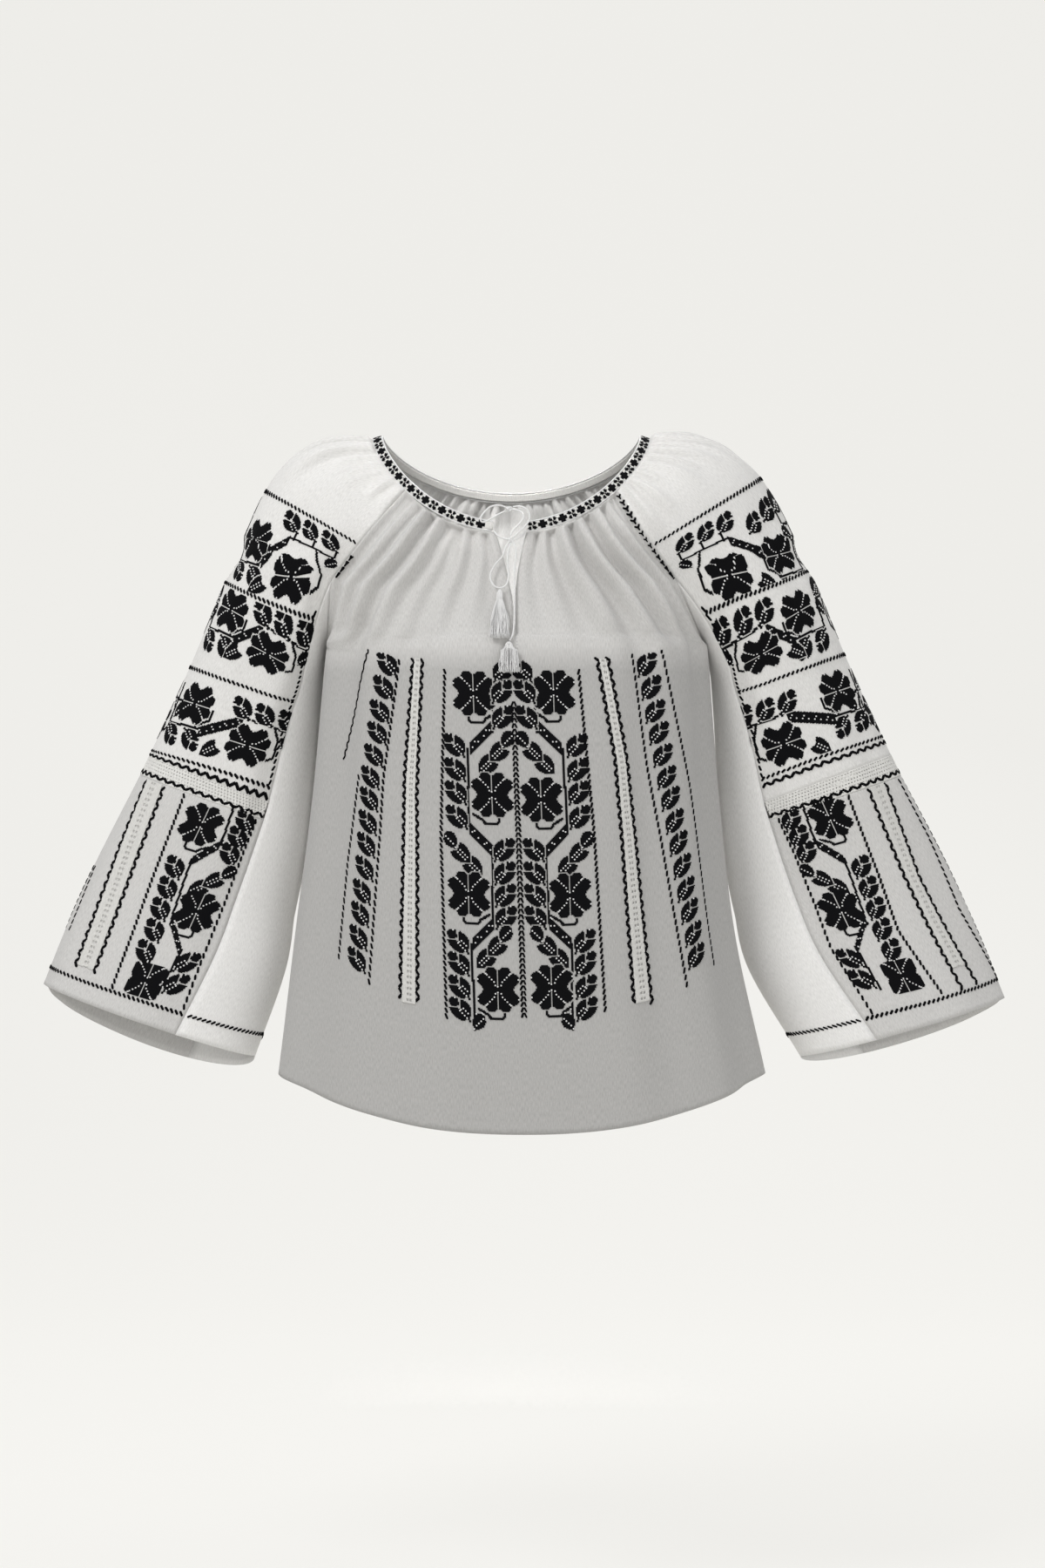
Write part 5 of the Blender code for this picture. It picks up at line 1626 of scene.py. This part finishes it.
def paired_holes(i, j, wide):
    """Two columns of square holes down the middle of a strip."""
    return j % 5 in (1, 2) and abs(i - wide // 2) in (1, 2)


def ring_holes(i, j, _):
    """Holes in slanting rows round a ring."""
    return j % 3 == 1 and (i + j // 3) % 3 == 0


def line_x(path):
    """x in metres of a drifting line, as a function of metres down the patch."""
    path = np.asarray(path, float) / 1000
    return lambda y: np.interp(y, -path[:, 1], path[:, 0])


STRIP_MARGIN = 0.0018            # bare cloth between a wave and the strip beside it


def strip_between(name, patch, waves, tall, top, node_name):
    """An openwork strip that fills the space between two sewn waves."""
    left, right = (line_x(path) for path in sorted(waves, key=lambda path: path[0][0]))
    return openwork(name, patch, lambda y: left(y) + STRIP_MARGIN, lambda y: right(y) - STRIP_MARGIN,
                    tall, top, paired_holes, [node_name], 0.0006, STRIP)


print("openwork counted in squares of", HOLE * 1000, "mm")

# %% Openwork strips and rings
RING_MARGIN = 0.0004
RING_RUNGS = straight_rungs((0.238, 0.250, 0.2605))
for side, waves in FRONT_WAVES.items():
    strip = strip_between("front_openwork_" + side, PATCHES["front"], waves, 0.335, 0.008,
                          "front_lace_" + side)
    declare_sheet(strip, 0.012, 0.34, "laid", "blouse_front")
for side, waves in LOWER_WAVES.items():
    strip = strip_between("sleeve_openwork_" + side, PATCHES["lower_" + side], waves, 0.195, 0.020,
                          "sleeve_strip_" + side)
    declare_sheet(strip, 0.020, 0.20, "laid", "sleeve_lower_" + side + "_cloth")
    patch = Patch(HEAD[side], SIDES[side], RING_RUNGS, [-0.5])
    near, far = patch.reach[0, 0] + RING_MARGIN, patch.reach[0, -1] - RING_MARGIN
    ring = openwork("ring_" + side, patch, lambda y: np.full(np.shape(y), near),
                    lambda y: np.full(np.shape(y), far), patch.depth[-1] - 0.0006, 0.0003, ring_holes,
                    ["sleeve_lace_" + side], 0.0002, LACE)
    declare_sheet(ring, 0.34, 0.021, "hung", "sleeve_head_" + side + "_cloth")
# %% [markdown]
# ## The cord, its knots and its tassels
# The cord is twisted from three strands. A tube follows each stretch, and its surface is grooved by
# the strands. Where the cord meets a knot it runs into it, so no end is left bare.

# %% Twisted tubes
TUBE_STEP = 0.0005
OUTWARD = np.array([0.02, -1.0, 0.03])     # roughly off the cloth, never along a stretch


def catmull(points, spacing):
    """Points at about equal spacing on a smooth curve through the given ones."""
    points = np.asarray(points, float)
    ends = np.concatenate([points[:1], points, points[-1:]])
    made = []
    for before, a, b, after in zip(ends, ends[1:], ends[2:], ends[3:]):
        count = max(1, round(float(np.linalg.norm(b - a)) / spacing))
        t = np.arange(count)[:, None] / count
        made.append(0.5 * (2 * a + (b - before) * t + (2 * before - 5 * a + 4 * b - after) * t * t
                           + (3 * a - before - 3 * b + after) * t ** 3))
    return np.concatenate(made + [points[-1:]])


Face = namedtuple("Face", "at y")
FACES = [Face(-row.z, row.y) for row in FRONT_MIDDLE]


def front_face(z):
    """y of the outer face of the front's solid on its middle line, at a height."""
    return float(read(FACES, "y", np.array([-z]))[0]) - CLOTH / 2


def route(passed):
    """Points of the cord's middle line at the stops that it passes."""
    return [(stop.x, front_face(stop.z) - stop.out - CORD / 2, stop.z) for stop in passed]


def tube_mesh(name, path, radius, strands=3, lay=0.0042, groove=0.16, columns=16, step=TUBE_STEP):
    """A closed tube along a path; its strands take lay metres to go once round."""
    path = np.asarray(path, float)
    run = run_along(path)

    def spot(at):
        return np.stack([np.interp(at, run, path[:, k]) for k in range(3)], axis=1)

    def onto(spots):
        angle = (spots[:, 0] + 1) * math.pi
        at = (1 - spots[:, 1]) / 2 * run[-1]
        ahead = unit(spot(at + 2 * step) - spot(at - 2 * step))
        side = unit(np.cross(ahead, OUTWARD))
        up = np.cross(side, ahead)
        near = np.clip(np.minimum(at, run[-1] - at) / radius, 0, 1)
        size = radius * np.sqrt(near * (2 - near)) * (1 + groove * np.abs(np.cos(
            (strands * angle - 2 * math.pi * at / lay * strands) / 2)) - groove)
        made = spot(at) + size[:, None] * (np.cos(angle)[:, None] * side + np.sin(angle)[:, None] * up)
        return made, np.stack([angle * radius, at], axis=1) / SQUARE

    mesh = draped(grid_mesh(name, columns, round(run[-1] / step)), onto)
    shape = bmesh.new()
    shape.from_mesh(mesh)
    bmesh.ops.remove_doubles(shape, verts=shape.verts[:], dist=TINY)
    bmesh.ops.recalc_face_normals(shape, faces=shape.faces[:])
    shape.to_mesh(mesh)
    shape.free()
    return mesh


print("front's face behind the low knot, y:", round(front_face(KNOT_LOW.z), 4))

# %% Cords and knots
KNOT_TURN = 0.00080


def knot_piece(name, stop, node_name):
    """A knot: the cord's own thickness wound into a small trefoil of turns."""
    centre = np.array(route([stop])[0])
    t = np.linspace(0, 2 * math.pi, 90)
    wound = np.stack([np.sin(t) + 2 * np.sin(2 * t), 0.9 * np.sin(3 * t) - 0.2,
                      np.cos(t) - 2 * np.cos(2 * t)], axis=1)
    path = centre + wound @ np.diag([1.05, 1.0, 0.95]) * KNOT_TURN
    mesh = tube_mesh(name, path, CORD * 0.48)
    return finished(name, mesh, WHITE_THREAD, [node_name], thickness=0)


def cord_piece(name, passed, nodes):
    """One stretch of the cord; prints its length."""
    path = catmull(route(passed), 0.0015)
    made = finished(name, tube_mesh(name, path, CORD / 2), WHITE_THREAD, nodes, thickness=0)
    length = round(float(run_along(path)[-1]), 3)
    [tuple(spot) for spot in catmull(route(passed), 0.006)]
    print(name, "length", length)


knot_low = knot_piece("knot_of_ends", KNOT_LOW, "knot_low")
knot_bow = knot_piece("knot_of_bow", KNOT_BOW, "knot_bow")

# %% [markdown]
# A tassel is a bundle of loose threads bound near its top. Every thread starts in the head, passes the
# binding and spreads to its own place in the skirt, with a wander of its own.

# %% Tassels
TASSEL_PROFILE = {               # share of its full width at each share of the way down
    "upper": [(0, 0.06), (0.04, 0.22), (0.12, 0.30), (0.17, 0.22), (0.30, 0.46), (0.60, 0.82), (1, 1)],
    "lower": [(0, 0.10), (0.04, 0.30), (0.12, 0.40), (0.17, 0.34), (0.26, 0.86), (0.60, 0.95), (1, 1)],
}
TASSEL_BOUND = 0.17              # share of the way down at which it is bound
LOOSE_THREAD = 0.00034           # radius of one thread
BINDING = (0.0026, 0.0015)       # half its width and half its depth
BINDING_RISE = 0.0011


def tassel_piece(which, count):
    """A tassel of loose threads, flattened against the cloth, and its binding."""
    top, tall, name = TASSEL_TOPS[which], TASSEL_TALL[which], "threads_" + which
    depth = TASSEL_WIDE / 2 * TASSEL_FLAT

    def middle(down):
        """y of the tassel's middle at a share of the way down."""
        above, below = front_face(top.z), front_face(top.z - tall)
        return above - top.out - depth + (below - above) * down

    seed = bmesh.new()
    bmesh.ops.create_cone(seed, cap_ends=True, segments=5, radius1=1, radius2=1, depth=2)
    rings = [edge for edge in seed.edges if abs(edge.verts[0].co.z - edge.verts[1].co.z) > 1]
    bmesh.ops.subdivide_edges(seed, edges=rings, cuts=13)
    mesh, form = copies(name, seed, count)
    turn = chance.uniform(0, 2 * math.pi, (count, 1))
    share = np.sqrt(chance.uniform(0.05, 1, (count, 1)))
    reach = chance.uniform(0.93, 1.0, (count, 1))
    sway = chance.normal(0, 0.0007, (count, 1))
    beat = chance.uniform(0.6, 1.6, (count, 1))
    down = (1 - form[None, :, 2]) / 2 * reach
    wide = np.interp(down, *zip(*TASSEL_PROFILE[which])) * TASSEL_WIDE / 2 * share
    loose = np.clip(down - TASSEL_BOUND, 0, 1)
    wave = sway * np.sin(down * 9 * beat + turn * 3) * loose * 2
    x = top.x + np.cos(turn) * wide + wave + form[None, :, 0] * LOOSE_THREAD
    y = middle(down) + np.sin(turn) * wide * TASSEL_FLAT + form[None, :, 1] * LOOSE_THREAD
    spots = point(x, y, top.z - tall * down).reshape(-1, 3)
    threads = np.stack([np.tile(np.arctan2(form[:, 1], form[:, 0]), count) * LOOSE_THREAD,
                        (down * tall).ravel()], axis=1) / SQUARE
    draped(mesh, lambda old: (spots, threads))
    made = finished(name, mesh, WHITE_THREAD, ["tassel_" + which], thickness=0)
    t = np.linspace(0, 6 * math.pi, 100)
    wound = point(top.x + BINDING[0] * np.cos(t), middle(TASSEL_BOUND) + BINDING[1] * np.sin(t),
                  top.z - tall * TASSEL_BOUND + np.linspace(BINDING_RISE, -BINDING_RISE, len(t)))
    mesh = tube_mesh("binding", wound, 0.00045, columns=8, step=0.0008)
    binding = finished("binding_" + name, mesh, WHITE_THREAD, thickness=0)
    print(name, count, "threads")
    return [made, binding]


upper = tassel_piece("upper", 150)
lower = tassel_piece("lower", 110)

# %% [markdown]
# The left end of the cord passes through the knot and hangs to the long tail. The right end passes
# through it the other way and hangs in the loop. Two strands climb from the knot to the bow, and the
# bow's ear turns over to the left.

# %% Stretches of the cord
cord_piece("cord_left", TIE_LEFT + [KNOT_LOW] + TAIL_RIGHT, ["tie_left", "tail_right"])
cord_piece("cord_right", TIE_RIGHT + [KNOT_LOW] + TAIL_LEFT[1:], ["tie_right", "tail_left"])
cord_piece("bow_inner", STRAND_INNER + [KNOT_BOW] + EAR_LEFT, ["strand_inner", "ear_left"])
cord_piece("bow_outer", [KNOT_LOW] + STRAND_OUTER, ["strand_outer"])
# %% [markdown]
# ## The neck band
# All the gathers end in one narrow band of doubled cloth, with an overcast edge on each side. Little
# crosses are worked along it, solid and open ones by turns, all round the neck.

# %% The band
BAND_TALL = 0.0085
BAND_WALL = 0.0016
BAND_LOW = -0.0076               # its outer edge, measured down from its inner edge
BAND_ENDS = (0.0068, -0.0262)    # x of its right and its left end, at the slit
BAND_SQUARE = 0.00118
BAND_STAND = (0.30, 0.65)        # how upright it stands, at the sides and more at front and back
BAND_LEAN = (0.95, 0.30)         # how far it leans in, across and along the body
PUFF, PUFF_STEP = 0.0003, 0.0037           # little puffs between its stitches, near its outer edge
BAND_EDGE = 0.0010               # how far the overcast edges stand beyond the band
EDGE_RADIUS = 0.00085
EDGE_LIFT = 0.0003
EDGE_IN = 0.0006                 # how far from the band's ends they stop


class BandPatch:
    """Working coordinates on the band: x round it from its right end, y down from its inner edge."""

    facing = 1

    def __init__(self):
        right, left = (math.asin((x - NECK_X) / NECK_WIDE) for x in BAND_ENDS)
        self.angles = np.linspace(right, left + 2 * math.pi, 1500)
        self.run = run_along(neckline(self.angles))

    def wrap(self, flat):
        angle = np.interp(flat[:, 0], self.run, self.angles)
        upright = BAND_STAND[0] + BAND_STAND[1] * np.abs(np.cos(angle))
        lean = unit(point(-BAND_LEAN[0] * np.sin(angle), BAND_LEAN[1] * np.cos(angle), upright))
        along = unit(neckline(angle + 0.004) - neckline(angle - 0.004))
        out = unit(np.cross(along, lean))
        return neckline(angle) + lean * (BAND_TALL + flat[:, 1:2]) + out * flat[:, 2:]


band_patch = BandPatch()
band_run = float(band_patch.run[-1])


def onto_band(spots):
    x = (spots[:, 0] + 1) / 2 * band_run
    y = (1 - spots[:, 1]) / 2 * BAND_LOW
    puff = PUFF * np.sin(2 * math.pi * x / PUFF_STEP) * np.clip(-y / 0.004 - 1, 0, 1)
    return band_patch.wrap(point(x, y, puff)), np.stack([x, y], axis=1)


band_mesh = draped(grid_mesh("band_cloth", 480, 6), onto_band)
band = finished("band_cloth", band_mesh, LACE, ["neck_band"], thickness=BAND_WALL)
declare_sheet(band, round(band_run, 2), 0.010, "gathered", "blouse_front")
for name, y in {"inner": BAND_EDGE, "outer": BAND_LOW - BAND_EDGE}.items():
    path = band_patch.wrap(point(np.linspace(EDGE_IN, band_run - EDGE_IN, 900), y, EDGE_LIFT))
    mesh = tube_mesh("band_edge_" + name, path, EDGE_RADIUS, strands=1, lay=0.0021, groove=0.22,
                     columns=8, step=0.0009)
    finished("band_edge_" + name, mesh, WHITE_THREAD, thickness=0)

# %% Crosses round the band
SOLID = chart("""
    ..####..
    ..####..
    ########
    ########
    ########
    ..####..
    ..####..
""")
OPEN = chart("""
    .##..##.
    ####.###
    .###.##.
    ....#...
    .##.###.
    ###.####
    .##..##.
""")
BAND_STEP = 9                    # squares from one cross to the next
band_work = Canvas(0, int(band_run / BAND_SQUARE), 7)
for k in range(int(band_run / BAND_SQUARE / BAND_STEP)):
    band_work.stamp(SOLID if k % 2 else OPEN, BAND_STEP * k + 5, 3.5)
mesh = worked_mesh("crosses_band", band_work, band_patch, BAND_SQUARE, 0.0009)
band_crosses = finished("crosses_band", mesh, BLACK, thickness=STITCH_THICK, offset=1.0)
print("band", round(band_run, 3), "m round;", len(band_crosses.data.polygons), "crosses")

# %% [markdown]
# A row of little black arrowheads marks the seam between the front and each sleeve. They shrink to
# short dashes on their way down. Plain white stitches run down the middle at the foot of the slit.

# %% Stitches on the seams
class SeamPatch:
    """Working coordinates along a line down the front: x down it, y across it."""

    facing = 1

    def __init__(self, across, top, floor):
        self.across = across
        self.levels = np.linspace(top, floor, 400)
        self.run = run_along(FRONT(across, self.levels))

    def wrap(self, flat):
        level = np.interp(flat[:, 0], self.run, self.levels)
        here = FRONT(self.across, level)
        below = unit(FRONT(self.across, level + STEP) - here)
        out = unit(np.cross(below, unit(FRONT(self.across + 2 * STEP, level) - here)))
        return here + np.cross(out, below) * -flat[:, 1:2] + out * flat[:, 2:]


print("raglan seam of the front:", round(SeamPatch(0.98, 0, 1).run[-1], 3), "m")

# %% Arrowheads and plain stitches
ARROWS = 15
ARROW_PITCH = 0.0072
FULL_ARROWS = 6                  # arrowheads above the first that shrinks
HIDDEN_ARROWS = {"left": 11, "right": 0}    # arrowheads of each seam that aren't worked, from its top
SEAM_IN = 0.985                  # how far out on the front the arrowheads run


def arrow_rows():
    """Arrowheads of two slanting grains over a stalk: small at the neck, then full, then dashes."""
    rows = []
    for k in range(ARROWS):
        beyond = max(k - FULL_ARROWS, 0)
        grown = min((k + 1) / 8, 1 - 0.42 * beyond / (ARROWS - FULL_ARROWS - 1))
        size = 0.55 + 0.45 * math.sin(math.pi * grown)
        spread = 1 - beyond / (ARROWS - FULL_ARROWS)
        at = 0.003 + ARROW_PITCH * k
        for side in (-1, 1):
            rows.append((at - 0.0008, side * 0.0016 * size * spread, 0.0050 * size, 0.0026 * size,
                         -side * 0.8 * spread))
        rows.append((at + 0.0012, 0.0, 0.0060 * size, 0.0024 * size, 0.0))
    return np.array(rows)


for side, hidden in HIDDEN_ARROWS.items():
    line = SeamPatch(SEAM_IN * SIDES[side], 0.04, 0.98)
    mesh = grain_mesh("arrows_" + side, arrow_rows()[3 * hidden:], line, 0.0008)
    finished("arrows_" + side, mesh, BLACK_THREAD, thickness=0)

line = SeamPatch(0.0, 1.35, 1.90)
slit_rows = np.array([(0.002 + 0.0034 * k, 0.0, 0.0020, 0.0007, 0.0) for k in range(30)])
mesh = grain_mesh("seam_stitches", slit_rows, line)
finished("seam_stitches", mesh, WHITE_THREAD, thickness=0)
print("stitches down the middle seam:", len(slit_rows))
